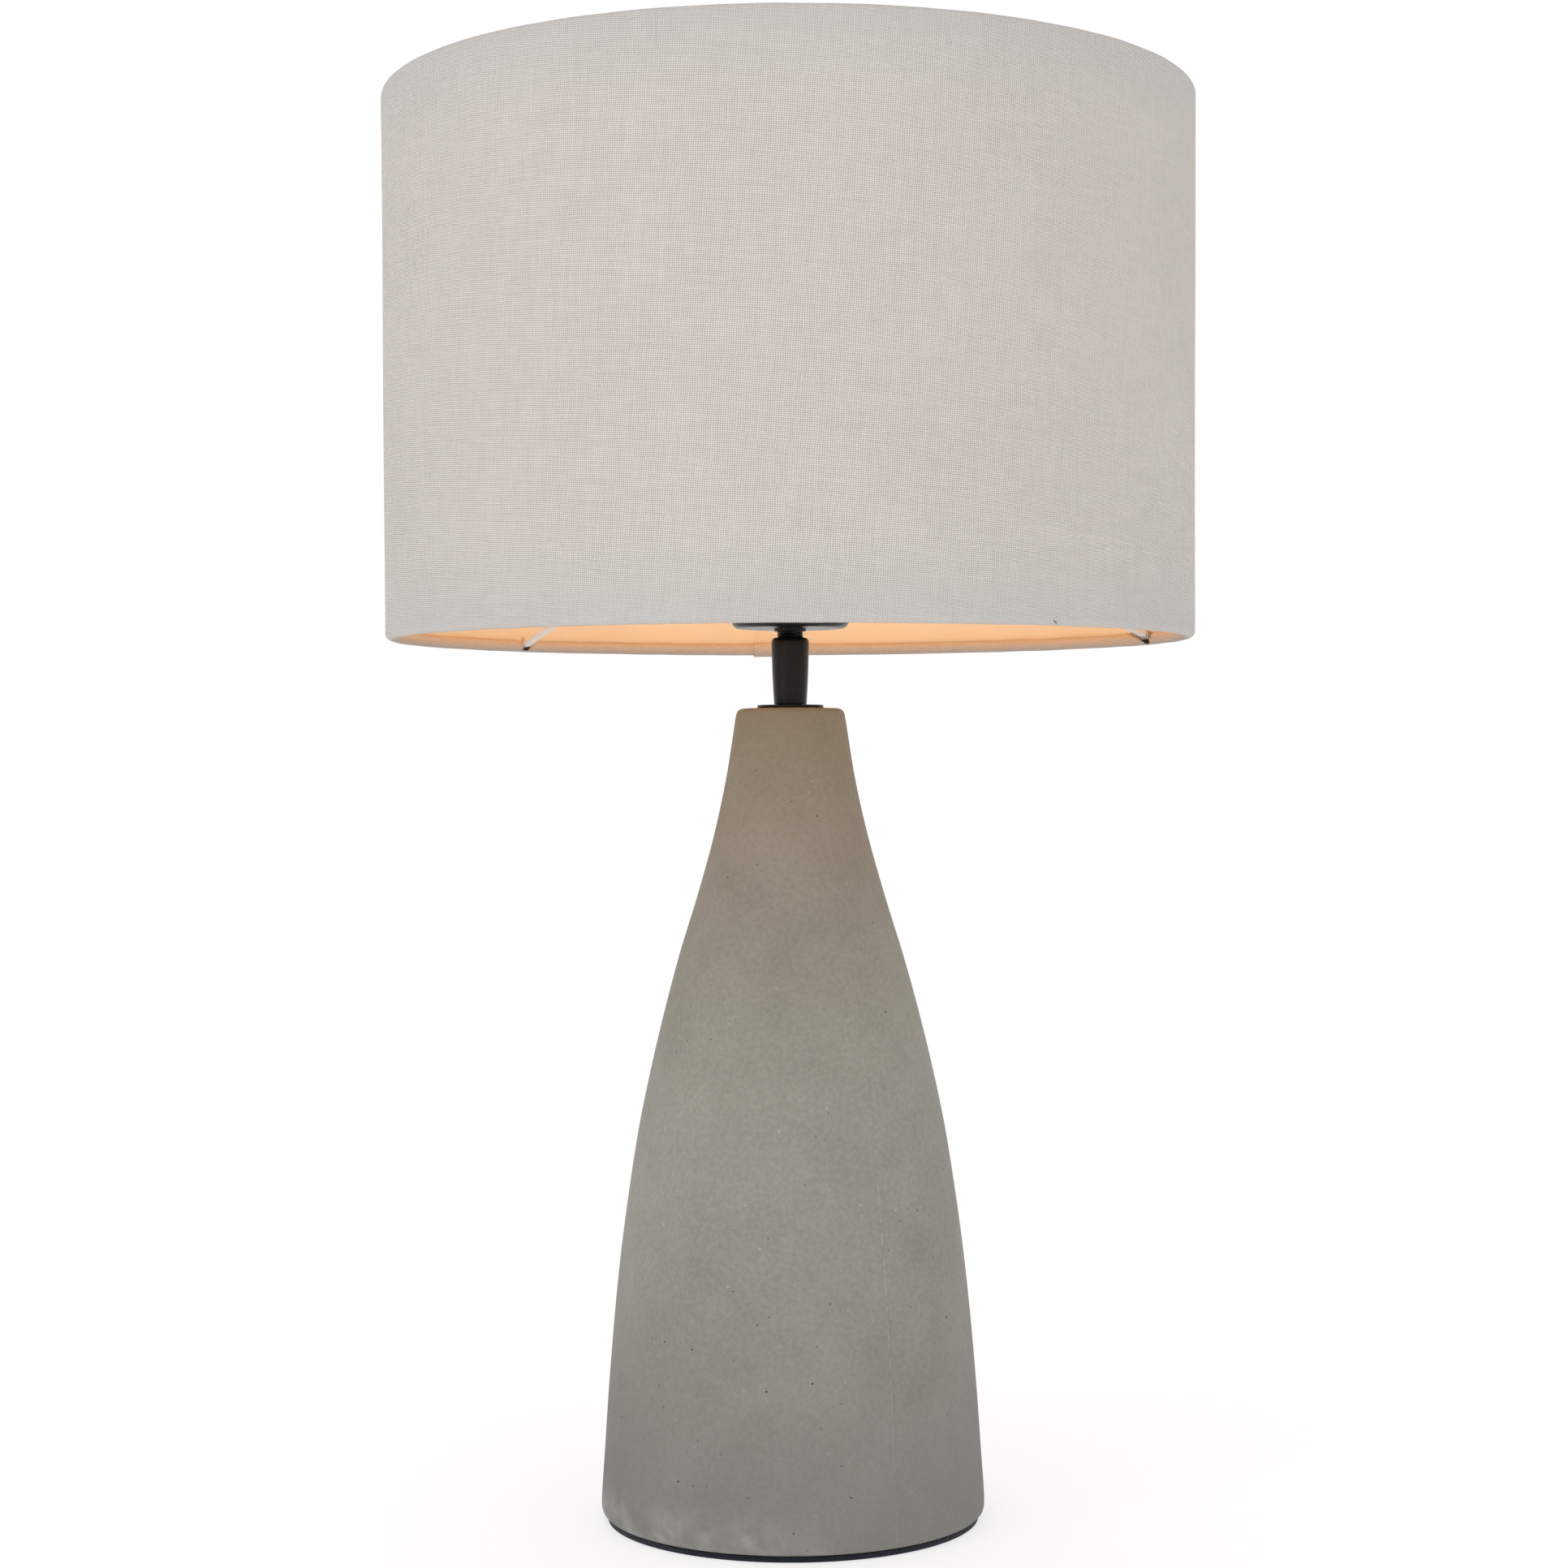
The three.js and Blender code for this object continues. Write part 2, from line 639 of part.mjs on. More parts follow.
// The sleeve screws into the cap, carries the shade on its flange and takes the shade ring above it
function holderSleeve() {
  const spigotRadius = capRadius - CAP_WALL - GAP;
  const flangeRadius = sleeveRadius + FLANGE_WIDTH;
  const shoulder = insertTop + GAP;
  const shoulderTop = shoulder + SLEEVE_SHOULDER_HEIGHT;
  const barrelBottom = CAP_HEIGHT + GAP;
  const outline = [
    [sleeveBoreRadius, CAP_HEIGHT - SPIGOT_LENGTH],
    [spigotRadius, CAP_HEIGHT - SPIGOT_LENGTH],
    [spigotRadius, barrelBottom],
    [barrelRadius, barrelBottom],
    [barrelRadius, FLANGE_TOP - FLANGE_THICKNESS],
    [flangeRadius, FLANGE_TOP - FLANGE_THICKNESS],
    [flangeRadius, FLANGE_TOP],
    [sleeveRadius, FLANGE_TOP],
    [sleeveRadius, SLEEVE_TOP - CHAMFER],
    [sleeveRadius - CHAMFER, SLEEVE_TOP],
    [sleeveBoreRadius, SLEEVE_TOP],
    [sleeveBoreRadius, shoulderTop],
    [shoulderRadius, shoulderTop],
    [shoulderRadius, shoulder],
    [sleeveBoreRadius, shoulder],
  ];
  return turned(outline, HOLDER_FACETS);
}

// Both terminals lie in pockets in the insert's underside, opposite each other
const terminalBottom = INSERT_BOTTOM + GAP;
const terminalTop = terminalBottom + TERMINAL_HEIGHT;
const terminalOuter = insertRadius - TERMINAL_SETBACK;
const terminalInner = terminalOuter - TERMINAL_LENGTH;
const terminalScrewHeight = terminalBottom + TERMINAL_SCREW_RISE;
const wireHoleAt = terminalInner + WIRE_HOLE_INSET;
const tabAt = -(shellBoreRadius + shellRadius) / 2;

function terminal(side) {
  const body = block(
    [TERMINAL_LENGTH, TERMINAL_WIDTH, TERMINAL_HEIGHT],
    [(terminalOuter + terminalInner) / 2, 0, (terminalTop + terminalBottom) / 2],
  );
  const wireHole = new THREE.CylinderGeometry(
    WIRE_HOLE_RADIUS,
    WIRE_HOLE_RADIUS,
    2 * insertTop,
    SCREW_FACETS,
  );
  wireHole.rotateX(Math.PI / 2).translate(wireHoleAt, 0, 0);
  const holeEnd = terminalOuter + OVERCUT;
  const screwHole = barAlongX(TERMINAL_SCREW_RADIUS + GAP, wireHoleAt, holeEnd, terminalScrewHeight);
  return cut(body, wireHole, screwHole).rotateZ(side < 0 ? Math.PI : 0);
}

function terminalScrew(side) {
  const tip = wireHoleAt + WIRE_HOLE_RADIUS / 2;
  const head = terminalOuter + TERMINAL_SCREW_PROUD;
  const screw = slottedScrew(TERMINAL_SCREW_RADIUS, tip, head, terminalScrewHeight);
  return screw.rotateZ(side < 0 ? Math.PI : 0);
}

function holderInsert() {
  const disc = turned(
    [
      [0, INSERT_BOTTOM],
      [insertRadius, INSERT_BOTTOM],
      [insertRadius, insertTop],
      [SPRING_BORE_RADIUS, insertTop],
      [SPRING_BORE_RADIUS, springFloor],
      [0, springFloor],
    ],
    HOLDER_FACETS,
  );
  const pocketHeight = terminalTop + GAP - INSERT_BOTTOM;
  const pocketLength = insertRadius + OVERCUT - terminalInner;
  const pockets = [1, -1].map((side) =>
    block(
      [pocketLength, TERMINAL_WIDTH + 2 * GAP, 2 * pocketHeight],
      [side * (terminalInner - GAP + pocketLength / 2), 0, INSERT_BOTTOM],
    ),
  );
  const tabSlot = block(
    [TAB_THICKNESS + 2 * GAP, TAB_WIDTH + 2 * GAP, 2 * INSERT_THICKNESS],
    [tabAt, 0, insertTop],
  );
  return cut(disc, ...pockets, tabSlot);
}

// A brass strip from the neutral terminal up to the foot of the screw shell
function shellTab() {
  const bottom = terminalTop + GAP;
  const top = shellBottom - GAP;
  return block([TAB_THICKNESS, TAB_WIDTH, top - bottom], [tabAt, 0, (top + bottom) / 2]);
}

function screwShell() {
  const outline = [
    [shellRadius, shellBottom],
    [shellRadius, SHELL_TOP],
    ...threadRows(shellBottom, SHELL_TOP)
      .reverse()
      .map((height) => [shellBoreRadius, height]),
  ];
  const plain = turned(outline, SMALL_FACETS);
  return raiseThread(plain, shellBoreRadius, shellBottom, SHELL_TOP, 0, true);
}

// A sprung centre contact follows the lamp's tip up as the lamp is loosened
function contactPlunger() {
  const stemRadius = springRadius - SPRING_WIRE_RADIUS - SPRING_PLAY;
  const headRadius = SPRING_BORE_RADIUS + PLUNGER_HEAD_OVERLAP;
  return turned(
    [
      [0, springFloor + PLUNGER_ROOM],
      [stemRadius, springFloor + PLUNGER_ROOM],
      [stemRadius, plungerHeadBottom],
      [headRadius, plungerHeadBottom],
      [headRadius, plungerTop - PLUNGER_HEAD_EDGE],
      [headRadius - FINE_CHAMFER, plungerTop],
      [0, plungerTop],
    ],
    CONTACT_FACETS,
  );
}

class Helix extends THREE.Curve {
  getPoint(share, target = new THREE.Vector3()) {
    const bottom = springFloor + GAP + SPRING_WIRE_RADIUS;
    const top = plungerHeadBottom - GAP - SPRING_WIRE_RADIUS;
    const angle = 2 * Math.PI * SPRING_TURNS * share;
    return target.set(
      springRadius * Math.cos(angle),
      springRadius * Math.sin(angle),
      bottom + (top - bottom) * share,
    );
  }
}

const contactSpring = () =>
  wire(new Helix(), SPRING_WIRE_RADIUS, SPRING_TURNS * SPRING_STEPS, SPRING_SIDES);

// The ring screws down the sleeve and holds the shade's fitter ring on the flange
function shadeRing() {
  const bodyRadius = shadeRingBoreRadius + SHADE_RING_WALL;
  const flangeRadius = fitterOuterRadius - SHADE_RING_SETBACK;
  const flangeTop = shadeRingBottom + SHADE_RING_FLANGE;
  const top = shadeRingBottom + SHADE_RING_HEIGHT;
  return turned(
    [
      [shadeRingBoreRadius, shadeRingBottom],
      [flangeRadius, shadeRingBottom],
      [flangeRadius, flangeTop],
      [bodyRadius, flangeTop],
      [bodyRadius, top - FINE_CHAMFER],
      [bodyRadius - FINE_CHAMFER, top],
      [shadeRingBoreRadius, top],
    ],
    HOLDER_FACETS,
  );
}

function lampholder() {
  const group = new THREE.Group();
  group.position.z = capUnderside;
  const grubEnd = capInnerBossRadius - GRUB_SETBACK;
  group.add(
    piece('holder_cap', holderCap(), blackPhenolic),
    piece('cap_grub_screw', slottedScrew(GRUB_RADIUS, rodHoleRadius, grubEnd, grubHeight), brass),
    piece('holder_sleeve', holderSleeve(), blackPhenolic),
    piece('holder_insert', holderInsert(), porcelain),
    piece('live_terminal', terminal(1), brass),
    piece('neutral_terminal', terminal(-1), brass),
    piece('live_terminal_screw', terminalScrew(1), zincSteel),
    piece('neutral_terminal_screw', terminalScrew(-1), zincSteel),
    piece('shell_tab', shellTab(), brass),
    piece('screw_shell', screwShell(), nickel),
    piece('contact_plunger', contactPlunger(), brass),
    piece('contact_spring', contactSpring(), zincSteel),
    piece('shade_ring', shadeRing(), blackPhenolic),
  );
  return group;
}

// ---------------------------------------------------------------- lamp, above the tip of its contact

const lampCapBottom = LAMP_TIP + LAMP_INSULATOR + 2 * GAP;
const lampCapBoreRadius = THREAD_ROOT_RADIUS - LAMP_CAP_WALL;

function lampCap() {
  const threadFrom = lampCapBottom + CHAMFER;
  const threadTo = threadFrom + LAMP_THREAD_LENGTH;
  const crestAt = -lampTipHeight;
  const outline = [
    [lampCapBoreRadius, lampCapBottom],
    [THREAD_ROOT_RADIUS - LAMP_CAP_EDGE, lampCapBottom],
    ...threadRows(threadFrom, threadTo).map((height) => [THREAD_ROOT_RADIUS, height]),
    [THREAD_ROOT_RADIUS + LAMP_CAP_FLARE / 2, threadTo + CHAMFER],
    [THREAD_ROOT_RADIUS + LAMP_CAP_FLARE, LAMP_CAP_TOP],
    [lampCapBoreRadius, LAMP_CAP_TOP],
  ];
  const plain = turned(outline, SMALL_FACETS);
  return raiseThread(plain, THREAD_ROOT_RADIUS, threadFrom, threadTo, crestAt, false);
}

const globeRimRadius = Math.sqrt(
  LAMP_GLOBE_RADIUS ** 2 - (LAMP_GLOBE_CENTRE - LAMP_HOUSING_TOP) ** 2,
);

// A plastic body that widens upwards from the cap and meets the globe at the slope of its side
function lampHousing() {
  const footRadius = THREAD_ROOT_RADIUS + LAMP_HOUSING_STEP;
  const bottom = LAMP_CAP_TOP + GAP;
  const bandTop = bottom + LAMP_HOUSING_BAND;
  const reach = (LAMP_HOUSING_TOP - bandTop) / 3;
  const slope = (LAMP_GLOBE_CENTRE - LAMP_HOUSING_TOP) / globeRimRadius;
  const side = new THREE.CubicBezierCurve(
    new THREE.Vector2(footRadius, bandTop),
    new THREE.Vector2(footRadius, bandTop + reach),
    new THREE.Vector2(globeRimRadius - slope * reach, LAMP_HOUSING_TOP - reach),
    new THREE.Vector2(globeRimRadius, LAMP_HOUSING_TOP),
  );
  const outside = [[footRadius, bottom], ...side.getPoints(5).map((point) => [point.x, point.y])];
  const inside = outside.map(([radius, height]) => [radius - LAMP_HOUSING_WALL, height]);
  return turned([...outside, ...inside.reverse()], HOLDER_FACETS);
}

function lampGlobe() {
  const rim = THREE.MathUtils.radToDeg(
    Math.asin((LAMP_HOUSING_TOP + GAP - LAMP_GLOBE_CENTRE) / LAMP_GLOBE_RADIUS),
  );
  const outside = arc(0, LAMP_GLOBE_CENTRE, LAMP_GLOBE_RADIUS, rim, 90, 7);
  const inside = arc(0, LAMP_GLOBE_CENTRE, LAMP_GLOBE_RADIUS - LAMP_GLOBE_WALL, 90, rim, 7);
  outside[outside.length - 1][0] = 0;
  inside[0][0] = 0;
  return turned([...inside, ...outside], HOLDER_FACETS);
}

function lamp() {
  const group = new THREE.Group();
  group.position.z = capUnderside + lampTipHeight;
  const tip = turned(
    [
      [0, 0],
      [LAMP_TIP_FACE_RADIUS, 0],
      [LAMP_TIP_RADIUS, LAMP_TIP],
      [0, LAMP_TIP],
    ],
    CONTACT_FACETS,
  );
  const insulatorBottom = LAMP_TIP + GAP;
  const insulator = turned(
    [
      [0, insulatorBottom],
      [LAMP_TIP_RADIUS + LAMP_INSULATOR_EDGE, insulatorBottom],
      [lampCapBoreRadius - LAMP_INSULATOR_PLAY, insulatorBottom + LAMP_INSULATOR],
      [0, insulatorBottom + LAMP_INSULATOR],
    ],
    SMALL_FACETS,
  );
  const boardRadius = globeRimRadius - LAMP_HOUSING_WALL - LED_BOARD_CLEARANCE;
  const boardBottom = LAMP_HOUSING_TOP - LED_BOARD_THICKNESS;
  const board = turned(
    [
      [0, boardBottom],
      [boardRadius - CHAMFER, boardBottom],
      [boardRadius, LAMP_HOUSING_TOP],
      [0, LAMP_HOUSING_TOP],
    ],
    SMALL_FACETS,
  );
  group.add(
    piece('bulb_tip_contact', tip, solder),
    piece('bulb_insulator', insulator, vitrite),
    piece('bulb_screw_cap', lampCap(), nickel),
    piece('bulb_housing', lampHousing(), whitePlastic),
    piece('bulb_led_board', board, whitePlastic),
    piece('bulb_globe', lampGlobe(), opalPlastic),
  );
  return group;
}

// ---------------------------------------------------------------- shade, above its bottom rim

// Outside radius of the cloth at a height
const shadeRadiusAt = (height) =>
  SHADE_BOTTOM_RADIUS + ((SHADE_TOP_RADIUS - SHADE_BOTTOM_RADIUS) * height) / SHADE_HEIGHT;

// A slightly conical band that follows the drum, from one inset to a deeper one
function band(outerInset, innerInset, bottom, top) {
  return turned(
    [
      [shadeRadiusAt(bottom) - innerInset, bottom],
      [shadeRadiusAt(bottom) - outerInset, bottom],
      [shadeRadiusAt(top) - outerInset, top],
      [shadeRadiusAt(top) - innerInset, top],
    ],
    SHADE_FACETS,
  );
}

const hemOuterLeg = FABRIC + GAP + WIRE_RADIUS; // up to the wire's middle
const clothBottom = hemOuterLeg + GAP;

// The cloth turned in round a wire ring: a trough open upwards, mirrored for the top rim
function hem(rimRadius, upwards) {
  const chamfer = FABRIC;
  const outer = rimRadius;
  const inner = rimRadius - hemInset - FABRIC;
  const outline = [
    [inner + chamfer, 0],
    [outer - chamfer, 0],
    [outer, chamfer],
    [outer, hemOuterLeg],
    [outer - FABRIC, hemOuterLeg],
    [outer - FABRIC, HEM_FOLD],
    [inner + FABRIC, HEM_FOLD],
    [inner + FABRIC, HEM_TUCK],
    [inner, HEM_TUCK],
    [inner, chamfer],
  ];
  if (upwards) {
    return turned(outline, SHADE_FACETS);
  }
  const mirrored = outline.map(([radius, height]) => [radius, SHADE_HEIGHT - height]).reverse();
  return turned(mirrored, SHADE_FACETS);
}

function wireRing(rimRadius, height) {
  const section = arc(rimRadius - wireInset, height, WIRE_RADIUS, 0, 300, 5);
  return turned(section, SHADE_FACETS);
}

const spokeFoot = wireInset + SPOKE_FOOT_RISE; // height of a spoke's middle at the bottom rim
const spokeFootRadius = SHADE_BOTTOM_RADIUS - hemInset - SPOKE_FOOT_PLAY;
const fitterMiddle = FITTER_RISE + FITTER_THICKNESS / 2;

// A spoke along +X: level off the fitter ring, a bend, then straight down to the bottom wire ring
function spoke() {
  const inside = fitterOuterRadius + GAP;
  const bendAt = new THREE.Vector3(inside + SPOKE_LEVEL, 0, fitterMiddle);
  const start = new THREE.Vector3(inside, 0, fitterMiddle);
  const end = new THREE.Vector3(spokeFootRadius, 0, spokeFoot);
  const inwards = start.clone().sub(bendAt).setLength(SPOKE_BEND).add(bendAt);
  const outwards = end.clone().sub(bendAt).setLength(SPOKE_BEND).add(bendAt);
  const across = inwards.clone().lerp(outwards, 1 / 2);
  const inBend = bendAt.clone().lerp(across, 2 / 5);
  const points = [start, inwards, inBend, outwards, end];
  return wire(new THREE.CatmullRomCurve3(points, false, 'centripetal'), WIRE_RADIUS, 18, 8);
}

const spokeAzimuths = Array.from(
  { length: SPOKE_COUNT },
  (_, i) => SPOKE_AZIMUTH + (360 / SPOKE_COUNT) * i,
);

// Notches in the turned-in cloth, where the spokes come through
function bottomHem() {
  const width = 2 * (WIRE_RADIUS + NOTCH_CLEARANCE);
  const floor = spokeFoot - WIRE_RADIUS - NOTCH_CLEARANCE;
  const notches = spokeAzimuths.map((azimuth) =>
    block(
      [NOTCH_DEPTH, width, 2 * HEM_TUCK],
      [SHADE_BOTTOM_RADIUS - hemInset - FABRIC / 2, 0, floor + HEM_TUCK],
    ).rotateZ(radians(azimuth)),
  );
  return cut(hem(SHADE_BOTTOM_RADIUS, true), ...notches);
}

// The cloth's free end, glued down over its start
function fabricSeam() {
  const strip = band(-GAP - FABRIC, -GAP, clothBottom, SHADE_HEIGHT - clothBottom);
  const keep = block(
    [SHADE_TOP_RADIUS, SEAM_WIDTH, 2 * SHADE_HEIGHT],
    [SHADE_TOP_RADIUS, 0, 0],
  ).rotateZ(radians(SEAM_AZIMUTH));
  return common(strip, keep);
}

function shade() {
  const group = new THREE.Group();
  group.position.z = shadeBottom;
  const linerInset = FABRIC + GAP;
  const linerBottom = wireInset + WIRE_RADIUS + GAP;
  const fitter = ring(
    fitterInnerRadius,
    fitterOuterRadius,
    FITTER_RISE,
    FITTER_RISE + FITTER_THICKNESS,
    HOLDER_FACETS,
  );
  group.add(
    piece('shade_fabric', band(0, FABRIC, clothBottom, SHADE_HEIGHT - clothBottom), linen),
    piece('fabric_seam', fabricSeam(), linen),
    piece(
      'shade_liner',
      band(linerInset, linerInset + LINER, linerBottom, SHADE_HEIGHT - linerBottom),
      linerFilm,
    ),
    piece('top_hem', hem(SHADE_TOP_RADIUS, false), linen),
    piece('bottom_hem', bottomHem(), linen),
    piece('top_wire_ring', wireRing(SHADE_TOP_RADIUS, SHADE_HEIGHT - wireInset), whitePaintedSteel),
    piece('bottom_wire_ring', wireRing(SHADE_BOTTOM_RADIUS, wireInset), whitePaintedSteel),
    piece('fitter_ring', fitter, whitePaintedSteel),
  );
  spokeAzimuths.forEach((azimuth, i) => {
    const arm = piece(`spoke_${i + 1}`, spoke(), whitePaintedSteel);
    arm.rotation.z = radians(azimuth);
    group.add(arm);
  });
  return group;
}

// ---------------------------------------------------------------- the whole lamp

const tableLamp = new THREE.Group();
tableLamp.add(foot(), neck(), lampholder(), lamp(), shade());

export default tableLamp;
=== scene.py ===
import math
import random

import bmesh
import bpy
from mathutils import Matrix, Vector, noise


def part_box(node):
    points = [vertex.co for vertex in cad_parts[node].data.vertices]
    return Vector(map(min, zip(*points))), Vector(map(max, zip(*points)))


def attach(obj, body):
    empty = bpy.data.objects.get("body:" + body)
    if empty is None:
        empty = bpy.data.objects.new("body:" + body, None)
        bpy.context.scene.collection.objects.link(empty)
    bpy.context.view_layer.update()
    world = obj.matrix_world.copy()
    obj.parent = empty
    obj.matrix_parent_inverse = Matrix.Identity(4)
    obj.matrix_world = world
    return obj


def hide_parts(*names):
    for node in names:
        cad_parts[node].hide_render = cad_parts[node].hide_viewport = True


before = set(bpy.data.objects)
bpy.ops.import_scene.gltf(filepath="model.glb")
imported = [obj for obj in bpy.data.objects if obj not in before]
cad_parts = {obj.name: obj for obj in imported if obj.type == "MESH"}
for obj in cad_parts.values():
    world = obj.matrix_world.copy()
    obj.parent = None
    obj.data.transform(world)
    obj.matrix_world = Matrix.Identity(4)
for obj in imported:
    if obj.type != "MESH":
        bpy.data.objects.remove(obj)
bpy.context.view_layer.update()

# Studio. A level camera a little lower than the shade's rim, rolled by a fifth of a degree. The
# lamp stands on a pale floor in even light, with a soft light in front of it to the left and a
# narrow one beside it that draws a line on the gloss.
CAMERA_PLACE = (0.0, -1.1273, 0.2785)
CAMERA_LEAN = 0.2
LENS_LENGTH = 69.7
SENSOR = 36.0
VIEW_SHIFT = (-0.0042, -0.0124)
ROOM_LIGHT = 1.03
ROOM_EVEN = 0.68
ROOM_FRONTAL = 0.69
SOFTBOXES = (
    ("wide_softbox", (-1.7, -1.5, 1.1), (1.2, 1.4), 1.4),
    ("strip_softbox", (-1.15, -1.0, 0.55), (0.16, 1.1), 1.6),
)
SOFTBOX_AIM = Vector((0, 0, 0.33))
FLOOR_SPREAD = 14.0
FLOOR_TONE = 0.42
FLOOR_GLOW = 0.63

scene = bpy.context.scene
scene.view_settings.view_transform = "Standard"


def put_in_scene(name, data):
    """A new object with its data, in the scene."""
    made = bpy.data.objects.new(name, data)
    scene.collection.objects.link(made)
    return made


def give(tree, made, inputs):
    """Gives a node's inputs, by name or number, their values or links."""
    for key, value in inputs.items():
        if isinstance(value, bpy.types.NodeSocket):
            tree.links.new(value, made.inputs[key])
        else:
            made.inputs[key].default_value = value
    return made


def node(tree, kind, inputs=None, **settings):
    """A new node with its settings and inputs."""
    made = tree.nodes.new(kind)
    for setting, value in settings.items():
        setattr(made, setting, value)
    return give(tree, made, inputs or {})


def blank(name):
    """A new material, with its node tree and its shader."""
    made = bpy.data.materials.new(name)
    made.use_nodes = True
    return made, made.node_tree, made.node_tree.nodes["Principled BSDF"]


def sum_of(tree, operation, *values):
    """The result of a Math node."""
    return node(tree, "ShaderNodeMath", dict(enumerate(values)), operation=operation).outputs[0]


def times(tree, one, other):
    """One value multiplied by another."""
    return sum_of(tree, "MULTIPLY", one, other)


camera_data = bpy.data.cameras.new("studio_camera")
camera_data.sensor_width = SENSOR
camera_data.lens = LENS_LENGTH
camera_data.shift_x, camera_data.shift_y = VIEW_SHIFT
camera_data.clip_start = 0.01
camera = put_in_scene("studio_camera", camera_data)
camera.location = CAMERA_PLACE
camera.rotation_euler = (math.radians(90), math.radians(CAMERA_LEAN), 0)
scene.camera = camera

room = bpy.data.worlds.new("studio_room")
room.use_nodes = True
sky = room.node_tree
facing = node(sky, "ShaderNodeTexCoord").outputs["Generated"]
frontal = sum_of(sky, "POWER", node(sky, "ShaderNodeSeparateXYZ", {0: facing}).outputs["Y"], 2.0)
soft = sum_of(sky, "MULTIPLY_ADD", frontal, ROOM_FRONTAL, ROOM_EVEN)
seen = node(sky, "ShaderNodeLightPath").outputs["Is Camera Ray"]
soft = node(sky, "ShaderNodeMix", {0: seen, 2: soft, 3: ROOM_LIGHT}).outputs[0]
give(sky, sky.nodes["Background"], {"Strength": soft, "Color": (1, 1, 1, 1)})
scene.world = room

for name, place, size, power in SOFTBOXES:
    light = bpy.data.lights.new(name, "AREA")
    light.shape = "RECTANGLE"
    light.size, light.size_y = size
    light.energy = power
    softbox = put_in_scene(name, light)
    softbox.location = place
    softbox.rotation_euler = (SOFTBOX_AIM - Vector(place)).to_track_quat("-Z", "Y").to_euler()

floor_paint, tree, shader = blank("floor_paint")
give(tree, shader, {
    "Base Color": (FLOOR_TONE, FLOOR_TONE, FLOOR_TONE, 1), "Roughness": 0.9,
    "Specular IOR Level": 0.1, "Emission Color": (1, 1, 1, 1), "Emission Strength": FLOOR_GLOW,
})
floor_mesh = bpy.data.meshes.new("floor")
corners = [(x * FLOOR_SPREAD, y * FLOOR_SPREAD, 0) for x, y in ((-1, -1), (1, -1), (1, 1), (-1, 1))]
floor_mesh.from_pydata(corners, [], [(0, 1, 2, 3)])
floor_mesh.materials.append(floor_paint)
put_in_scene("floor", floor_mesh)

# Foot pad. A disc of dense black felt with a navy cast, 2 mm thick, glued under the foot. Its
# cut edge is soft and its face is matted fibre.
PAD_EDGE = 0.0006
PAD_COLUMNS = 192
PAD_STEP = 0.002
PAD_TONES = ((0.004, 0.005, 0.011), (0.014, 0.016, 0.030))
CORNER = math.radians(24)
ON_AXIS = 1e-6


def node_group(name, takes, gives):
    """A shader node group. takes has each input's value, or None for a place, and gives names
    the values it puts out."""
    tree = bpy.data.node_groups.new(name, "ShaderNodeTree")
    for label, value in takes.items():
        kind = "NodeSocketVector" if value is None else "NodeSocketFloat"
        socket = tree.interface.new_socket(label, in_out="INPUT", socket_type=kind)
        if value is not None:
            socket.default_value = value
    for label in gives:
        tree.interface.new_socket(label, in_out="OUTPUT", socket_type="NodeSocketFloat")
    return tree, tree.nodes.new("NodeGroupInput").outputs, tree.nodes.new("NodeGroupOutput")


# Grain: cloudy patches of a stated size, from 0 to 1 round a middle of 0.5.
grain_tree, given, out = node_group(
    "grain", {"Vector": None, "Size": 0.01, "Contrast": 1.0, "Detail": 4.0}, ["Value"]
)
per_metre = sum_of(grain_tree, "DIVIDE", 1.0, given["Size"])
cloud = node(
    grain_tree, "ShaderNodeTexNoise",
    {"Vector": given["Vector"], "Scale": per_metre, "Detail": given["Detail"]},
).outputs[0]
off_middle = sum_of(grain_tree, "SUBTRACT", cloud, 0.5)
wide = times(grain_tree, given["Contrast"], 2.0)
spread = sum_of(grain_tree, "MULTIPLY_ADD", off_middle, wide, 0.5)
clamped = node(grain_tree, "ShaderNodeClamp", {"Value": spread}).outputs[0]
give(grain_tree, out, {"Value": clamped})


def placed(tree, group, **inputs):
    """A shared node group placed in a material, with its own values."""
    return node(tree, "ShaderNodeGroup", inputs, node_tree=group).outputs[0]


def blended(tree, factor, low, high):
    """A colour between two, by a factor."""
    low, high = (c if isinstance(c, bpy.types.NodeSocket) else (*c, 1) for c in (low, high))
    return node(tree, "ShaderNodeMix", {0: factor, 6: low, 7: high}, data_type="RGBA").outputs[2]


def ranged(tree, value, low, high):
    """A value from 0 to 1, brought between two others."""
    return node(
        tree, "ShaderNodeMapRange", {"Value": value, "To Min": low, "To Max": high}
    ).outputs[0]


def finish(name, tones, patch, gloss, grit, relief, metallic=0.0, **plain):
    """A finish whose colour wanders between two tones in patches, and whose roughness and relief
    follow a finer grit. patch, grit and relief are in metres, and plain sets sockets."""
    made, tree, shader = blank(name)
    spot = node(tree, "ShaderNodeTexCoord").outputs["Object"]
    clouds = placed(tree, grain_tree, Vector=spot, Size=patch)
    fine = placed(tree, grain_tree, Vector=spot, Size=grit, Contrast=1.4)
    bump = node(tree, "ShaderNodeBump", {"Height": fine, "Distance": relief}).outputs[0]
    give(tree, shader, {
        "Base Color": blended(tree, clouds, *tones), "Roughness": ranged(tree, fine, *gloss),
        "Normal": bump, "Metallic": metallic,
    })
    give(tree, shader, {key.replace("_", " "): value for key, value in plain.items()})
    return made


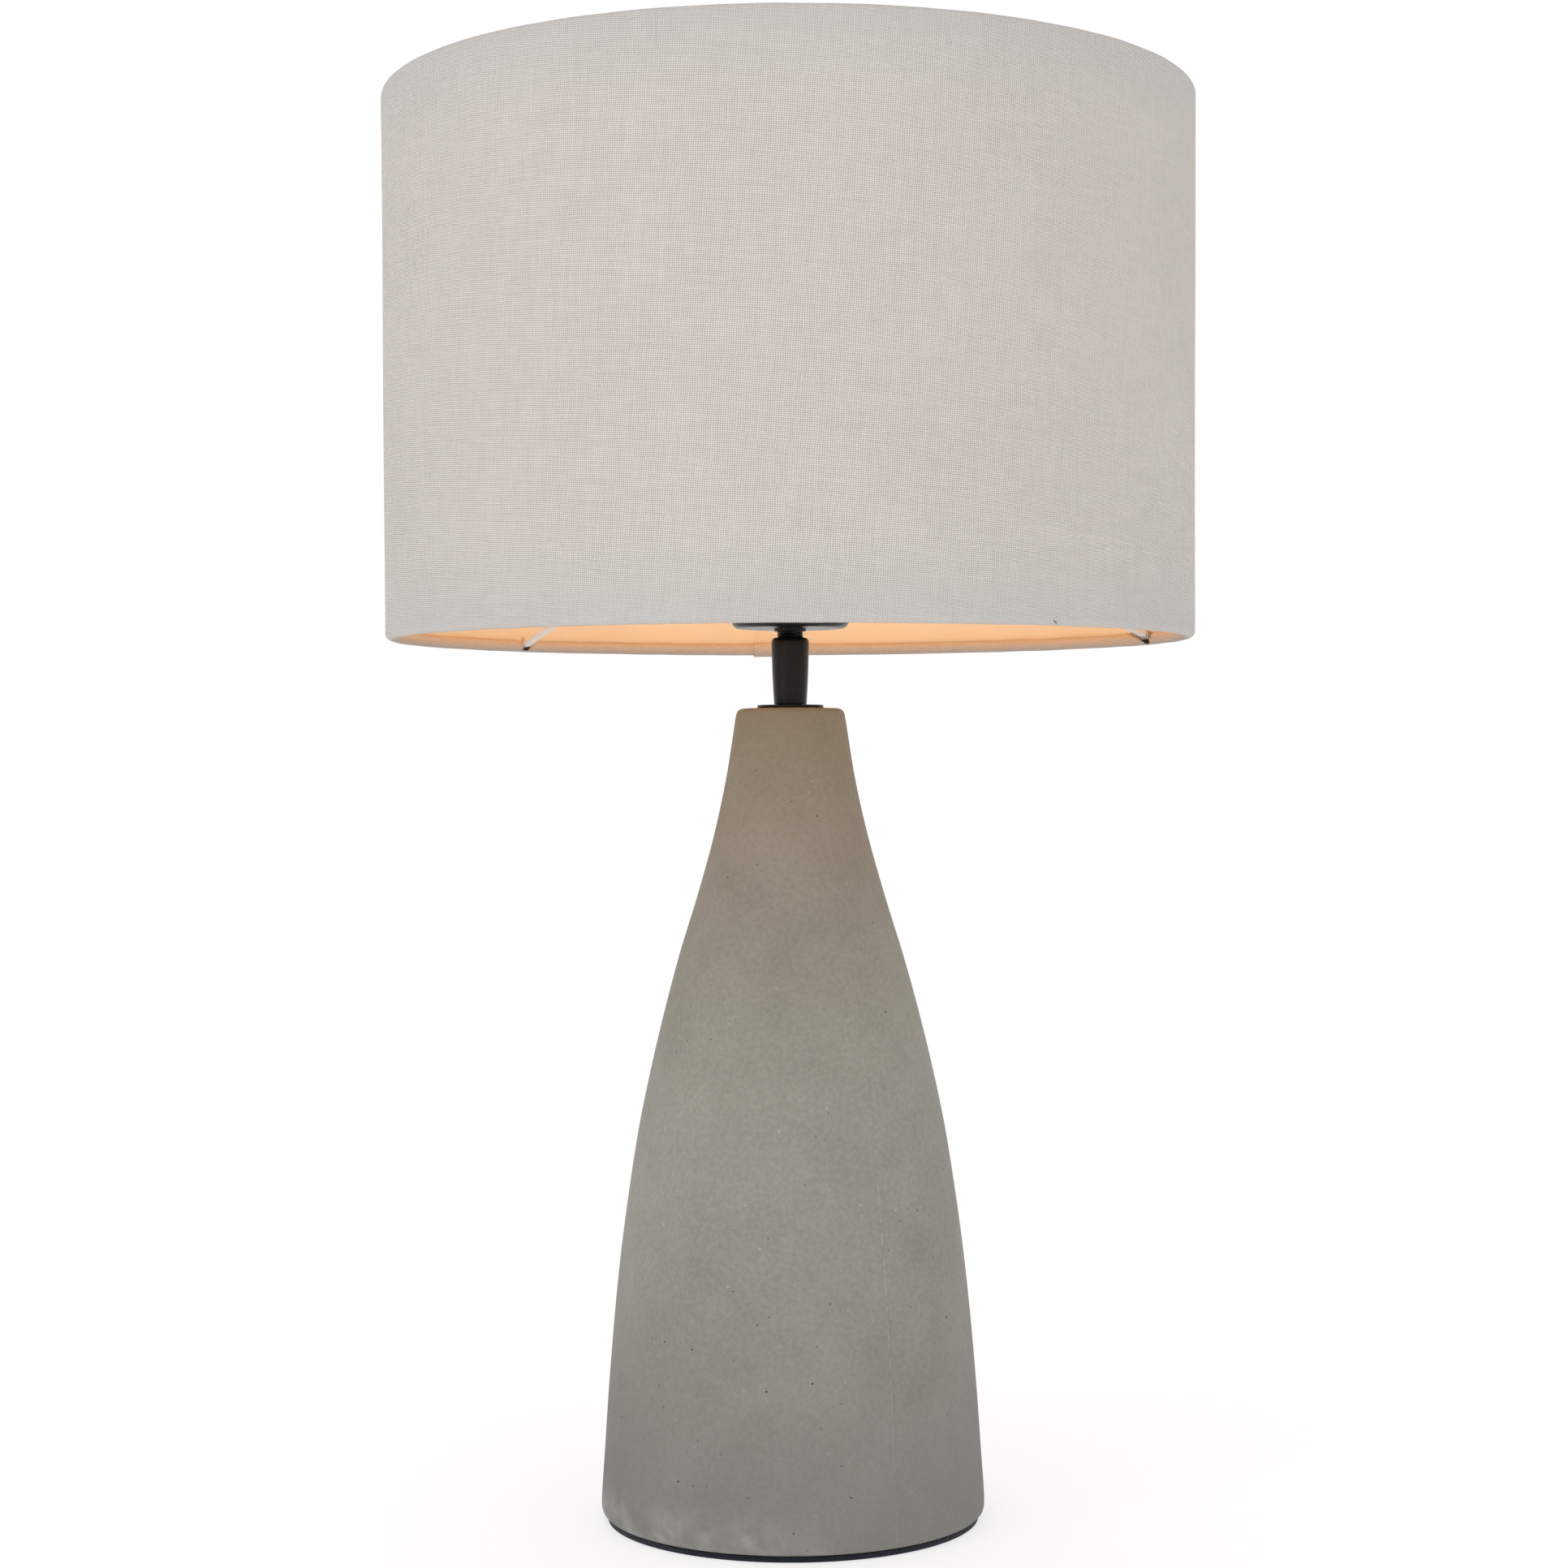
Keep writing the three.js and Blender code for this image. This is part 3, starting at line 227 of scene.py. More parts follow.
def cad_outline(name, side=0, radius=lambda p: -p[1], height=lambda p: p[2]):
    """The outline of a turned CAD node: the loop of (radius, height) points in which its faces
    meet a half plane through the axis. Where it starts and ends on the axis, it is open."""
    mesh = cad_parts[name].data
    linked = {}
    for face in mesh.polygons:
        corners = [tuple(round(c, 6) for c in mesh.vertices[i].co) for i in face.vertices]
        for a, b in zip(corners, corners[1:] + corners[:1]):
            flat = all(abs(p[side]) < 2 * ON_AXIS and radius(p) > -2 * ON_AXIS for p in (a, b))
            if flat and a != b:
                ends = [(round(max(radius(p), 0), 6), height(p)) for p in (a, b)]
                linked.setdefault(ends[0], set()).add(ends[1])
                linked.setdefault(ends[1], set()).add(ends[0])
    starts = [p for p, others in linked.items() if len(others) == 1]
    loop = [min(starts or linked)]
    while True:
        onwards = [p for p in sorted(linked[loop[-1]]) if p not in loop]
        if not onwards:
            return loop, not starts
        loop.append(onwards[0])


def between(a, b, c, d, share):
    """A point between b and c, on the even curve that passes through all four."""
    first = math.sqrt((b - a).length)
    second = first + math.sqrt((c - b).length)
    third = second + math.sqrt((d - c).length)
    at = first + (second - first) * share
    ab = a.lerp(b, at / first)
    bc = b.lerp(c, share)
    cd = c.lerp(d, (at - second) / (third - second))
    abc = ab.lerp(bc, at / second)
    bcd = bc.lerp(cd, (at - first) / (third - first))
    return abc.lerp(bcd, share)


def curved(loop, closed, step):
    """A loop with a smooth curve drawn through its smooth stretches, in short steps. Its sharp
    corners stay where they are."""
    points = [Vector(p) for p in loop]
    count = len(points)

    def at(i):
        return points[i % count] if closed or 0 <= i < count else None

    def sharp(i):
        a, b, c = at(i - 1), at(i), at(i + 1)
        return a is None or c is None or (b - a).angle(c - b) > CORNER

    done = []
    for i in range(count if closed else count - 1):
        b, c = at(i), at(i + 1)
        a = 2 * b - c if sharp(i) else at(i - 1)
        d = 2 * c - b if sharp(i + 1) else at(i + 2)
        parts = max(1, math.ceil((c - b).length / step))
        done += [tuple(between(a, b, c, d, k / parts)) for k in range(parts)]
    if not closed:
        done.append(tuple(points[-1]))
    return done


def eased(loop, closed, ease):
    """A loop with each sharp corner rounded off, by at most a third of the sides beside it."""
    count = len(loop)
    done = []
    for i, point in enumerate(loop):
        if not closed and i in (0, count - 1):
            done.append(point)
            continue
        before, corner, after = (Vector(loop[j % count]) for j in (i - 1, i, i + 1))
        into, onwards = corner - before, after - corner
        if into.angle(onwards) < CORNER:
            done.append(point)
            continue
        start = corner - into.normalized() * min(ease, into.length / 3)
        end = corner + onwards.normalized() * min(ease, onwards.length / 3)
        for share in (0, 0.25, 0.5, 0.75, 1):
            here = start.lerp(corner, share).lerp(corner.lerp(end, share), share)
            done.append((max(here[0], 0.0), here[1]))
    return done


def turned(loop, closed, azimuths):
    """The points and faces of a loop turned round the axis, at the azimuths given in degrees."""
    around = [(math.cos(math.radians(a)), math.sin(math.radians(a))) for a in azimuths]
    points, rows, faces = [], [], []
    for radius, height in loop:
        if radius < ON_AXIS:
            rows.append([len(points)] * len(around))
            points.append((0, 0, height))
        else:
            rows.append(list(range(len(points), len(points) + len(around))))
            points += [(radius * c, radius * s, height) for c, s in around]
    for low, high in zip(rows, rows[1:] + (rows[:1] if closed else [])):
        for i in range(len(around)):
            j = (i + 1) % len(around)
            corners = list(dict.fromkeys((low[i], low[j], high[j], high[i])))
            if len(corners) > 2:
                faces.append(corners)
    return points, faces


def every(count, first=0.0):
    """Even azimuths all the way round."""
    return [first + 360 * i / count for i in range(count)]


def body_of_mesh(name, points, faces, material, sharp=40):
    """A new piece whose faces all point outwards, smooth but for its sharp edges."""
    mesh = bpy.data.meshes.new(name)
    mesh.from_pydata(points, [], faces)
    shape = bmesh.new()
    shape.from_mesh(mesh)
    bmesh.ops.recalc_face_normals(shape, faces=shape.faces)
    shape.to_mesh(mesh)
    shape.free()
    mesh.materials.append(material)
    mesh.polygons.foreach_set("use_smooth", [True] * len(mesh.polygons))
    mesh.set_sharp_from_angle(angle=math.radians(sharp))
    return put_in_scene(name, mesh)


def fixed(made, body, slot, *nodes):
    """Fixes a piece to a body, for the CAD nodes that it stands for."""
    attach(made, body)
    if nodes:
        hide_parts(*nodes)
    return made


def fine_outline(cad_node, step, ease, **seen):
    """A turned CAD node's outline, drawn finer and with its edges eased."""
    loop, closed = cad_outline(cad_node, **seen)
    return eased(curved(loop, closed, step), closed, ease), closed


def turned_piece(name, cad_node, body, slot, material, columns, step, ease):
    """A turned piece drawn finer than its CAD node."""
    loop, closed = fine_outline(cad_node, step, ease)
    points, faces = turned(loop, closed, every(columns))
    return fixed(body_of_mesh(name, points, faces, material), body, slot, cad_node)


felt = finish(
    "navy_black_felt", PAD_TONES, 0.006, (0.85, 1.0), 0.0006, 0.0004,
    Specular_IOR_Level=0.2, Sheen_Weight=0.15,
)
turned_piece("felt_pad", "base_pad", "base", "felt", felt, PAD_COLUMNS, PAD_STEP, PAD_EDGE)

# Foot. One hollow casting of fine grey concrete, left as it came out of a two-part mould: small
# air holes, mostly low down, a faint broken line where the mould halves met, and a pale bloom of
# lime at the front of the foot.
FOOT_COLUMNS = 240
FOOT_STEP = 0.0026
FOOT_EDGE = 0.0004
FOOT_WAVER = 0.00011
FOOT_WAVES = 26
FOOT_SKIN = 0.004
FOOT_ENDS = 0.002
MOULD_LINES = (-59.0, 121.0)
MOULD_LINE_COLUMNS = (-0.62, -0.3, 0.3, 0.62, 0.02)
MOULD_RIDGE = 0.00022
MOULD_RIDGE_WAVES = 60
MOULD_LINE_TOP = 0.25
MOULD_LINE_EDGE = (0.0003, 0.0001)
MOULD_LINE_FADE = (0.16, 0.12)
MOULD_LINE_PALE = 0.42
CLOUD_SIZE, CLOUD_SHARE = 0.075, 0.42
BLOTCH_SIZE, BLOTCH_SHARE = 0.016, 0.20
SAND_SIZE, SAND_SHARE = 0.0016, 0.29
STREAK_SIZE = 0.007
BROKEN_SIZE = 0.02
DASH_SIZE = 0.0022
SCRATCH_START, SCRATCH_PALE = 0.9990, 0.22
PALE_DOTS, PALE_DOT_TONE = dict(Spacing=0.006, Radius=0.11, Share=0.30), 0.45
PORES, PORE_SHADE_TONE = dict(Spacing=0.0042, Radius=0.10, Share=0.16), 0.75
# Painted shade low on the foot:
LOW_SHADE_RISE, LOW_SHADE_TONE = 0.12, 0.58
# Painted shade and warm lamp light at the top of the foot:
PAINTED_TOP_FROM, PAINTED_TOP_TO, PAINTED_TOP_TONE = 0.18, 0.30, 0.50
BLOOM_RISE = (0.020, 0.003)
BLOOM_SIDE = (0.018, -0.02)
BLOOM_TONE = 0.75
FOOT_GLOSS = (0.78, 0.95)
FOOT_RELIEF = 0.00022
FOOT_DARK = (0.205, 0.197, 0.172)
FOOT_LIGHT = (0.374, 0.364, 0.324)
LIME_BLOOM = (0.46, 0.46, 0.44)
PAINTED_PORE_SHADE = (0.12, 0.112, 0.095)
FOOT_LOW_SHADE = (0.155, 0.150, 0.140)
FOOT_TOP_SHADE_AND_GLOW = (0.145, 0.119, 0.070)

# Specks: separate round spots of a stated size, of which only a share are there.
speck_tree, given, out = node_group(
    "specks", {"Vector": None, "Spacing": 0.01, "Radius": 0.1, "Share": 0.3}, ["Mask"]
)
per_metre = sum_of(speck_tree, "DIVIDE", 1.0, given["Spacing"])
spots = node(
    speck_tree, "ShaderNodeTexVoronoi", {"Vector": given["Vector"], "Scale": per_metre}
).outputs
inside = node(
    speck_tree, "ShaderNodeMapRange",
    {
        "Value": spots["Distance"], "From Min": given["Radius"],
        "From Max": times(speck_tree, given["Radius"], 0.5),
    },
).outputs[0]
draw = node(speck_tree, "ShaderNodeSeparateColor", {"Color": spots["Color"]}).outputs[0]
there = sum_of(speck_tree, "LESS_THAN", draw, given["Share"])
give(speck_tree, out, {"Mask": times(speck_tree, inside, there)})


def faded(tree, value, start, end, most=1.0, **settings):
    """A mask that grows from nothing at one value to its most at another."""
    sockets = {"Value": value, "From Min": start, "From Max": end, "To Max": most}
    return node(tree, "ShaderNodeMapRange", sockets, **settings).outputs[0]


concrete, tree, shader = blank("cast_concrete")
spot = node(tree, "ShaderNodeTexCoord").outputs["Object"]
place = node(tree, "ShaderNodeSeparateXYZ", {0: spot}).outputs
clouds = placed(tree, grain_tree, Vector=spot, Size=CLOUD_SIZE, Contrast=1.0, Detail=5.0)
blotches = placed(tree, grain_tree, Vector=spot, Size=BLOTCH_SIZE, Contrast=0.8, Detail=3.0)
sand = placed(tree, grain_tree, Vector=spot, Size=SAND_SIZE, Contrast=1.3, Detail=3.0)
fine_share = sum_of(
    tree, "ADD", times(tree, blotches, BLOTCH_SHARE), times(tree, sand, SAND_SHARE)
)
paste = sum_of(tree, "ADD", times(tree, clouds, CLOUD_SHARE), fine_share)
colour = blended(tree, paste, FOOT_DARK, FOOT_LIGHT)
pale_dots = placed(tree, speck_tree, Vector=spot, **PALE_DOTS)
colour = blended(tree, times(tree, pale_dots, PALE_DOT_TONE), colour, LIME_BLOOM)
# Pores: tiny pits, bumped in and painted dark. The dark is painted shade in the pits.
pores = placed(tree, speck_tree, Vector=spot, **PORES)
colour = blended(tree, times(tree, pores, PORE_SHADE_TONE), colour, PAINTED_PORE_SHADE)
scuffed = node(
    tree, "ShaderNodeTexWave",
    {"Vector": spot, "Scale": 7.0, "Distortion": 9.0, "Detail": 2.0, "Detail Scale": 1.2},
    bands_direction="DIAGONAL",
).outputs["Fac"]
scratch = faded(tree, scuffed, SCRATCH_START, 1.0, SCRATCH_PALE)
broken = placed(tree, grain_tree, Vector=spot, Size=BROKEN_SIZE, Contrast=3.0, Detail=2.0)
scratch = times(tree, scratch, times(tree, broken, clouds))
colour = blended(tree, scratch, colour, LIME_BLOOM)
dashes = placed(tree, grain_tree, Vector=spot, Size=DASH_SIZE, Contrast=3.5, Detail=2.0)
faint = times(tree, faded(tree, place["Z"], *MOULD_LINE_FADE), MOULD_LINE_PALE)
for line in MOULD_LINES:
    along = Vector((math.cos(math.radians(line)), math.sin(math.radians(line)), 0))
    off, ahead = (
        node(
            tree, "ShaderNodeVectorMath", {0: spot, 1: axis}, operation="DOT_PRODUCT"
        ).outputs["Value"]
        for axis in ((-along.y, along.x, 0), tuple(along))
    )
    near = faded(tree, sum_of(tree, "ABSOLUTE", off), *MOULD_LINE_EDGE)
    on_line = times(tree, near, sum_of(tree, "GREATER_THAN", ahead, 0.0))
    colour = blended(tree, times(tree, on_line, times(tree, dashes, faint)), colour, LIME_BLOOM)
# Darker towards the bottom: painted shade low on the foot.
low_shade = faded(tree, place["Z"], LOW_SHADE_RISE, 0.0, LOW_SHADE_TONE, interpolation_type="SMOOTHSTEP")
colour = blended(tree, low_shade, colour, FOOT_LOW_SHADE)
# Darker and warmer towards the top: painted shade under the lampshade and painted warm lamp light.
top_shade_and_glow = faded(tree, place["Z"], PAINTED_TOP_FROM, PAINTED_TOP_TO, PAINTED_TOP_TONE)
colour = blended(tree, top_shade_and_glow, colour, FOOT_TOP_SHADE_AND_GLOW)
streaks = placed(tree, grain_tree, Vector=spot, Size=STREAK_SIZE, Contrast=1.6, Detail=5.0)
low_down = faded(tree, place["Z"], *BLOOM_RISE)
to_the_left = faded(tree, place["X"], *BLOOM_SIDE)
bloom = times(tree, times(tree, low_down, to_the_left), times(tree, streaks, blotches))
colour = blended(tree, times(tree, bloom, BLOOM_TONE), colour, LIME_BLOOM)
lumps = sum_of(tree, "ADD", times(tree, blotches, 0.9), times(tree, sand, 0.6))
relief = {
    "Height": sum_of(tree, "SUBTRACT", lumps, times(tree, pores, 1.5)),
    "Distance": FOOT_RELIEF, "Strength": 0.8,
}
give(tree, shader, {
    "Base Color": colour, "Roughness": ranged(tree, sand, *FOOT_GLOSS),
    "Normal": node(tree, "ShaderNodeBump", relief).outputs[0], "Specular IOR Level": 0.25,
})

foot_lo, foot_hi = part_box("concrete_body")
foot_loop, foot_closed = fine_outline("concrete_body", FOOT_STEP, FOOT_EDGE)
foot_azimuths = sorted(
    every(FOOT_COLUMNS) + [line + side for line in MOULD_LINES for side in MOULD_LINE_COLUMNS]
)
foot_points, foot_faces = turned(foot_loop, foot_closed, foot_azimuths)


def foot_radius(height):
    """The foot's outer radius at a height."""
    near = [(r, h) for r, h in foot_loop if abs(h - height) < FOOT_STEP]
    low = max((r for r, h in near if h <= height), default=0.0)
    high = max((r for r, h in near if h >= height), default=0.0)
    return max(low, high)


for i, (x, y, z) in enumerate(foot_points):
    reach = math.hypot(x, y)
    at_an_end = z < foot_lo.z + FOOT_ENDS or z > foot_hi.z - FOOT_ENDS
    if at_an_end or reach < foot_radius(z) - FOOT_SKIN:
        continue
    push = FOOT_WAVER * noise.noise(Vector((x, y, z)) * FOOT_WAVES)
    azimuth = math.degrees(math.atan2(y, x))
    for line in MOULD_LINES:
        off = abs((azimuth - line + 180) % 360 - 180)
        if off < 0.1 and z < MOULD_LINE_TOP:
            rise = noise.noise(Vector((0, line, z * MOULD_RIDGE_WAVES)))
            push += MOULD_RIDGE * max(0.0, 0.45 + rise)
    grow = 1 + push / reach
    foot_points[i] = (x * grow, y * grow, z)
foot = body_of_mesh("concrete_foot", foot_points, foot_faces, concrete)
# The insides of the air holes and of the cord's outlet get a near-black concrete: painted shade in
# the holes.
painted_hole_shade = finish(
    "painted_shade_in_holes", ((0.030, 0.028, 0.024), (0.075, 0.070, 0.060)), 0.002, (0.85, 0.95),
    0.0004, 0.00005,
)
foot.data.materials.append(painted_hole_shade)

# The air holes are small flattened balls, and the cord's outlet a round bar, cut out of the foot.
AIR_HOLES = 84
AIR_HOLE_RADII = (0.00017, 0.00046)
AIR_HOLE_GAP = 0.004
AIR_HOLES_FROM, AIR_HOLES_BELOW_TOP = 0.008, 0.03
OUTLET_PLACE = Vector((0, 0.0725, 0.0125))
OUTLET_RADIUS, OUTLET_REACH = 0.006, 0.02
OUTLET_GAP = 0.014
OUTLET_FACE = Vector((0, 0.070, 0.0125))
rough_cast = random.Random(11)

hole_points, hole_faces = [], []
ball = bmesh.new()
bmesh.ops.create_icosphere(ball, subdivisions=2, radius=1.0)
ball_points = [v.co.copy() for v in ball.verts]
ball_faces = [[v.index for v in f.verts] for f in ball.faces]
ball.free()
taken = []
while len(taken) < AIR_HOLES:
    azimuth = rough_cast.uniform(0, 2 * math.pi)
    spread = (foot_hi.z - AIR_HOLES_BELOW_TOP) * rough_cast.random() ** 1.8
    height = foot_lo.z + AIR_HOLES_FROM + spread
    radius = rough_cast.uniform(*AIR_HOLE_RADII)
    reach = foot_radius(height) - radius * 0.1
    centre = Vector((reach * math.cos(azimuth), reach * math.sin(azimuth), height))
    crowded = any((centre - other).length < AIR_HOLE_GAP for other in taken)
    if crowded or (centre - OUTLET_FACE).length < OUTLET_GAP:
        continue
    taken.append(centre)
    first = len(hole_points)
    squeeze = rough_cast.uniform(0.75, 1.15)
    hole_points += [centre + Vector((p.x, p.y, p.z * squeeze)) * radius for p in ball_points]
    hole_faces += [[first + i for i in face] for face in ball_faces]
outlet_loop = [(0, -OUTLET_REACH), (OUTLET_RADIUS, -OUTLET_REACH)]
outlet_loop += [(r, -h) for r, h in outlet_loop[::-1]]
points, faces = turned(outlet_loop, False, every(48))
first = len(hole_points)
hole_points += [OUTLET_PLACE + Vector((x, z, y)) for x, y, z in points]
hole_faces += [[first + i for i in face] for face in faces]
holes = body_of_mesh("air_holes", hole_points, hole_faces, concrete)
# The cut faces take the painted shade in the holes.
holes.data.materials.append(painted_hole_shade)
holes.data.polygons.foreach_set("material_index", [1] * len(holes.data.polygons))
carve = foot.modifiers.new("air_holes", "BOOLEAN")
carve.operation = "DIFFERENCE"
carve.solver = "MANIFOLD"
carve.object = holes


def settled(made, *helpers):
    """Turns a piece's modifiers into plain mesh, and removes the objects that shaped it."""
    shaped = bpy.data.meshes.new_from_object(
        made.evaluated_get(bpy.context.evaluated_depsgraph_get())
    )
    made.modifiers.clear()
    made.data = shaped
    shaped.name = made.name
    for helper in helpers:
        bpy.data.objects.remove(helper)
    return made


settled(foot, holes)
foot.data.set_sharp_from_angle(angle=math.radians(40))
fixed(foot, "base", "concrete", "concrete_body")

# Foot fittings. A zinc-plated plate under the foot and a washer, a toothed lock washer and a nut
# on the stem pull the casting tight. A rubber bush at the stem's end and a rubber grommet in the
# back of the foot keep the cord off sharp edges.
ZINC_TONES = ((0.46, 0.47, 0.50), (0.66, 0.66, 0.67))
RUBBER_TONES = ((0.010, 0.010, 0.011), (0.026, 0.026, 0.028))


def refinished(material, *nodes):
    """Gives CAD nodes whose shape is right their real finish."""
    for name in nodes:
        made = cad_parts[name]
        made.data.materials.clear()
        made.data.materials.append(material)


zinc = finish("zinc_plated_steel", ZINC_TONES, 0.004, (0.28, 0.46), 0.0005, 0.00003, metallic=1.0)
rubber = finish("black_rubber", RUBBER_TONES, 0.005, (0.62, 0.82), 0.0004, 0.00004)
refinished(zinc, "base_plate", "clamp_washer", "lock_washer", "clamp_nut")
turned_piece("stem_end_bush", "rod_end_bush", "base", "black_rubber", rubber, 64, 0.001, 0.0004)

grommet_loop, grommet_closed = fine_outline(
    "cord_grommet", 0.001, 0.0006,
    radius=lambda p: p[2] - OUTLET_PLACE.z, height=lambda p: p[1],
)
points, faces = turned(grommet_loop, grommet_closed, every(72))
points = [(x, z, OUTLET_PLACE.z + y) for x, y, z in points]
grommet = body_of_mesh("outlet_grommet", points, faces, rubber)
fixed(grommet, "base", "black_rubber", "cord_grommet")

# Stem. A hollow steel lamp rod, M10 by 1, threaded from end to end and blackened. It holds the
# foot, the neck and the lampholder together and shows only in the groove under the holder.
THREAD_PITCH = 0.001
THREAD_DEPTH = 0.00042
ROD_COLUMNS = 24
TURN_ROWS = 4
BLACK_TONES = ((0.006, 0.006, 0.007), (0.015, 0.015, 0.016))

black_steel = finish(
    "blackened_steel", BLACK_TONES, 0.003, (0.36, 0.52), 0.0004, 0.00003, metallic=0.6
)


def into_thread(x, y, z, pitch):
    """How far a point lies into a right-hand thread: 0 on its crest and 1 at its root."""
    wound = (z / pitch - math.atan2(y, x) / (2 * math.pi)) % 1
    return 2 * min(wound, 1 - wound)


def cut_in(x, y, z, depth):
    """A point moved towards the axis."""
    keep = 1 - depth / math.hypot(x, y)
    return x * keep, y * keep, z


rod_lo, rod_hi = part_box("threaded_rod")
rod_bore = min(r for r, h in cad_outline("threaded_rod")[0])
rod_rows = round((rod_hi.z - rod_lo.z) / THREAD_PITCH * TURN_ROWS)
rod_loop = [(rod_bore, rod_hi.z), (rod_bore, rod_lo.z)]
rod_loop += [
    (rod_hi.x, rod_lo.z + (rod_hi.z - rod_lo.z) * i / rod_rows) for i in range(rod_rows + 1)
]
points, faces = turned(rod_loop, True, every(ROD_COLUMNS))
for i, (x, y, z) in enumerate(points):
    if math.hypot(x, y) > rod_bore + THREAD_DEPTH:
        at_end = min(z - rod_lo.z, rod_hi.z - z) < THREAD_PITCH
        share = 1 if at_end else into_thread(x, y, z, THREAD_PITCH)
        points[i] = cut_in(x, y, z, THREAD_DEPTH * share)
rod = body_of_mesh("threaded_stem", points, faces, black_steel)
fixed(rod, "base", "black_metal", "threaded_rod")

# Neck. A thin black washer covers the hole in the casting, and a turned steel sleeve with a
# rounded shoulder, in satin black lacquer, spaces the holder off the foot.
LACQUER_TONES = ((0.003, 0.0028, 0.0026), (0.005, 0.0047, 0.0044))

lacquer = finish(
    "satin_black_lacquer", LACQUER_TONES, 0.02, (0.30, 0.38), 0.0007, 0.00003,
    Specular_IOR_Level=0.22,
)
turned_piece("neck_washer", "top_washer", "base", "black_metal", lacquer, 128, 0.001, 0.00025)
turned_piece("neck_sleeve", "neck_tube", "base", "black_metal", lacquer, 128, 0.0008, 0.0002)

# Lampholder. A black phenolic cap and a sleeve moulded in gloss, with a wide flange for the
# shade and a thread above it. Inside, a white porcelain insert holds brass terminals with
# plated screws, the plated screw shell, its tab, and a brass contact on a spring.
PHENOLIC_TONES = ((0.004, 0.004, 0.0045), (0.009, 0.009, 0.010))
SLEEVE_THREAD_PITCH = 0.002
SLEEVE_THREAD_DEPTH = 0.0004
SLEEVE_THREAD_LOW = 0.3640
SLEEVE_THREAD_HIGH = 0.3855
SLEEVE_THREAD_FADE = 0.001
SLEEVE_OUTSIDE = 0.0192

phenolic = finish(
    "gloss_black_phenolic", PHENOLIC_TONES, 0.012, (0.24, 0.33), 0.0009, 0.00002,
    Specular_IOR_Level=0.2,
)
turned_piece("holder_dome", "holder_cap", "base", "black_phenolic", phenolic, 160, 0.0008, 0.0003)

sleeve_loop, sleeve_closed = fine_outline("holder_sleeve", 0.0006, 0.0004)
points, faces = turned(sleeve_loop, sleeve_closed, every(96))
for i, (x, y, z) in enumerate(points):
    from_end = min(SLEEVE_THREAD_HIGH - z, z - SLEEVE_THREAD_LOW)
    if from_end > 0 and math.hypot(x, y) > SLEEVE_OUTSIDE:
        depth = SLEEVE_THREAD_DEPTH * min(1.0, from_end / SLEEVE_THREAD_FADE)
        points[i] = cut_in(x, y, z, depth * into_thread(x, y, z, SLEEVE_THREAD_PITCH))
sleeve = body_of_mesh("holder_barrel", points, faces, phenolic)
fixed(sleeve, "base", "black_phenolic", "holder_sleeve")

porcelain = finish(
    "glazed_porcelain", ((0.74, 0.73, 0.70), (0.82, 0.81, 0.78)), 0.008, (0.10, 0.2), 0.0012,
    0.00003, Coat_Weight=0.6, Coat_Roughness=0.05,
)
brass = finish(
    "turned_brass", ((0.52, 0.36, 0.13), (0.72, 0.53, 0.24)), 0.003, (0.24, 0.4), 0.0004,
    0.00002, metallic=1.0,
)
nickel = finish(
    "nickel_plate", ((0.55, 0.53, 0.49), (0.72, 0.69, 0.64)), 0.004, (0.16, 0.3), 0.0005,
    0.00002, metallic=1.0,
)
refinished(porcelain, "holder_insert")
refinished(
    brass, "live_terminal", "neutral_terminal", "shell_tab", "contact_plunger", "cap_grub_screw"
)
refinished(zinc, "live_terminal_screw", "neutral_terminal_screw", "contact_spring")
refinished(nickel, "screw_shell", "bulb_screw_cap")

# Shade ring. A black phenolic ring with a ribbed grip screws down over the sleeve and pins the
# shade's fitter ring to the holder's flange.
RIB_COUNT = 40
RIB_RADIUS = 0.0007
RIB_FLANGE = 0.025
RIB_CIRCLE = 0.0228
RIB_LOW = 0.3685
RIB_HIGH = 0.3735

ring_loop, ring_closed = cad_outline("shade_ring")
ring_loop = [(r if r > RIB_FLANGE else min(r, RIB_CIRCLE), h) for r, h in ring_loop]
ring_loop = eased(curved(ring_loop, ring_closed, 0.001), ring_closed, 0.0005)
points, faces = turned(ring_loop, ring_closed, every(120))
ring = body_of_mesh("shade_clamp_ring", points, faces, phenolic)


def shape_tree(name, sizes):
    """A Geometry Nodes tree with a named input for each size, and the sockets by name."""
    tree = bpy.data.node_groups.new(name, "GeometryNodeTree")
    tree.interface.new_socket("Geometry", in_out="INPUT", socket_type="NodeSocketGeometry")
    for label, value in sizes.items():
        kind = "NodeSocketInt" if isinstance(value, int) else "NodeSocketFloat"
        if isinstance(value, bpy.types.Material):
            kind = "NodeSocketMaterial"
        tree.interface.new_socket(label, in_out="INPUT", socket_type=kind)
    tree.interface.new_socket("Geometry", in_out="OUTPUT", socket_type="NodeSocketGeometry")
    return tree, tree.nodes.new("NodeGroupInput").outputs


def shaped_by(made, tree, sizes):
    """Runs a Geometry Nodes tree on a piece, with its sizes, and keeps the plain mesh."""
    modifier = made.modifiers.new(tree.name, "NODES")
    modifier.node_group = tree
    sockets = {
        item.name: item.identifier
        for item in tree.interface.items_tree
        if item.item_type == "SOCKET" and item.in_out == "INPUT"
    }
    for label, value in sizes.items():
        modifier[sockets[label]] = value
    return settled(made)


def ends_in(tree, geometry, material):
    """Ends a tree in real faces with their material."""
    real = node(tree, "GeometryNodeRealizeInstances", {0: geometry}).outputs[0]
    painted = node(tree, "GeometryNodeSetMaterial", {"Geometry": real, "Material": material})
    node(tree, "NodeGroupOutput", {0: painted.outputs[0]})


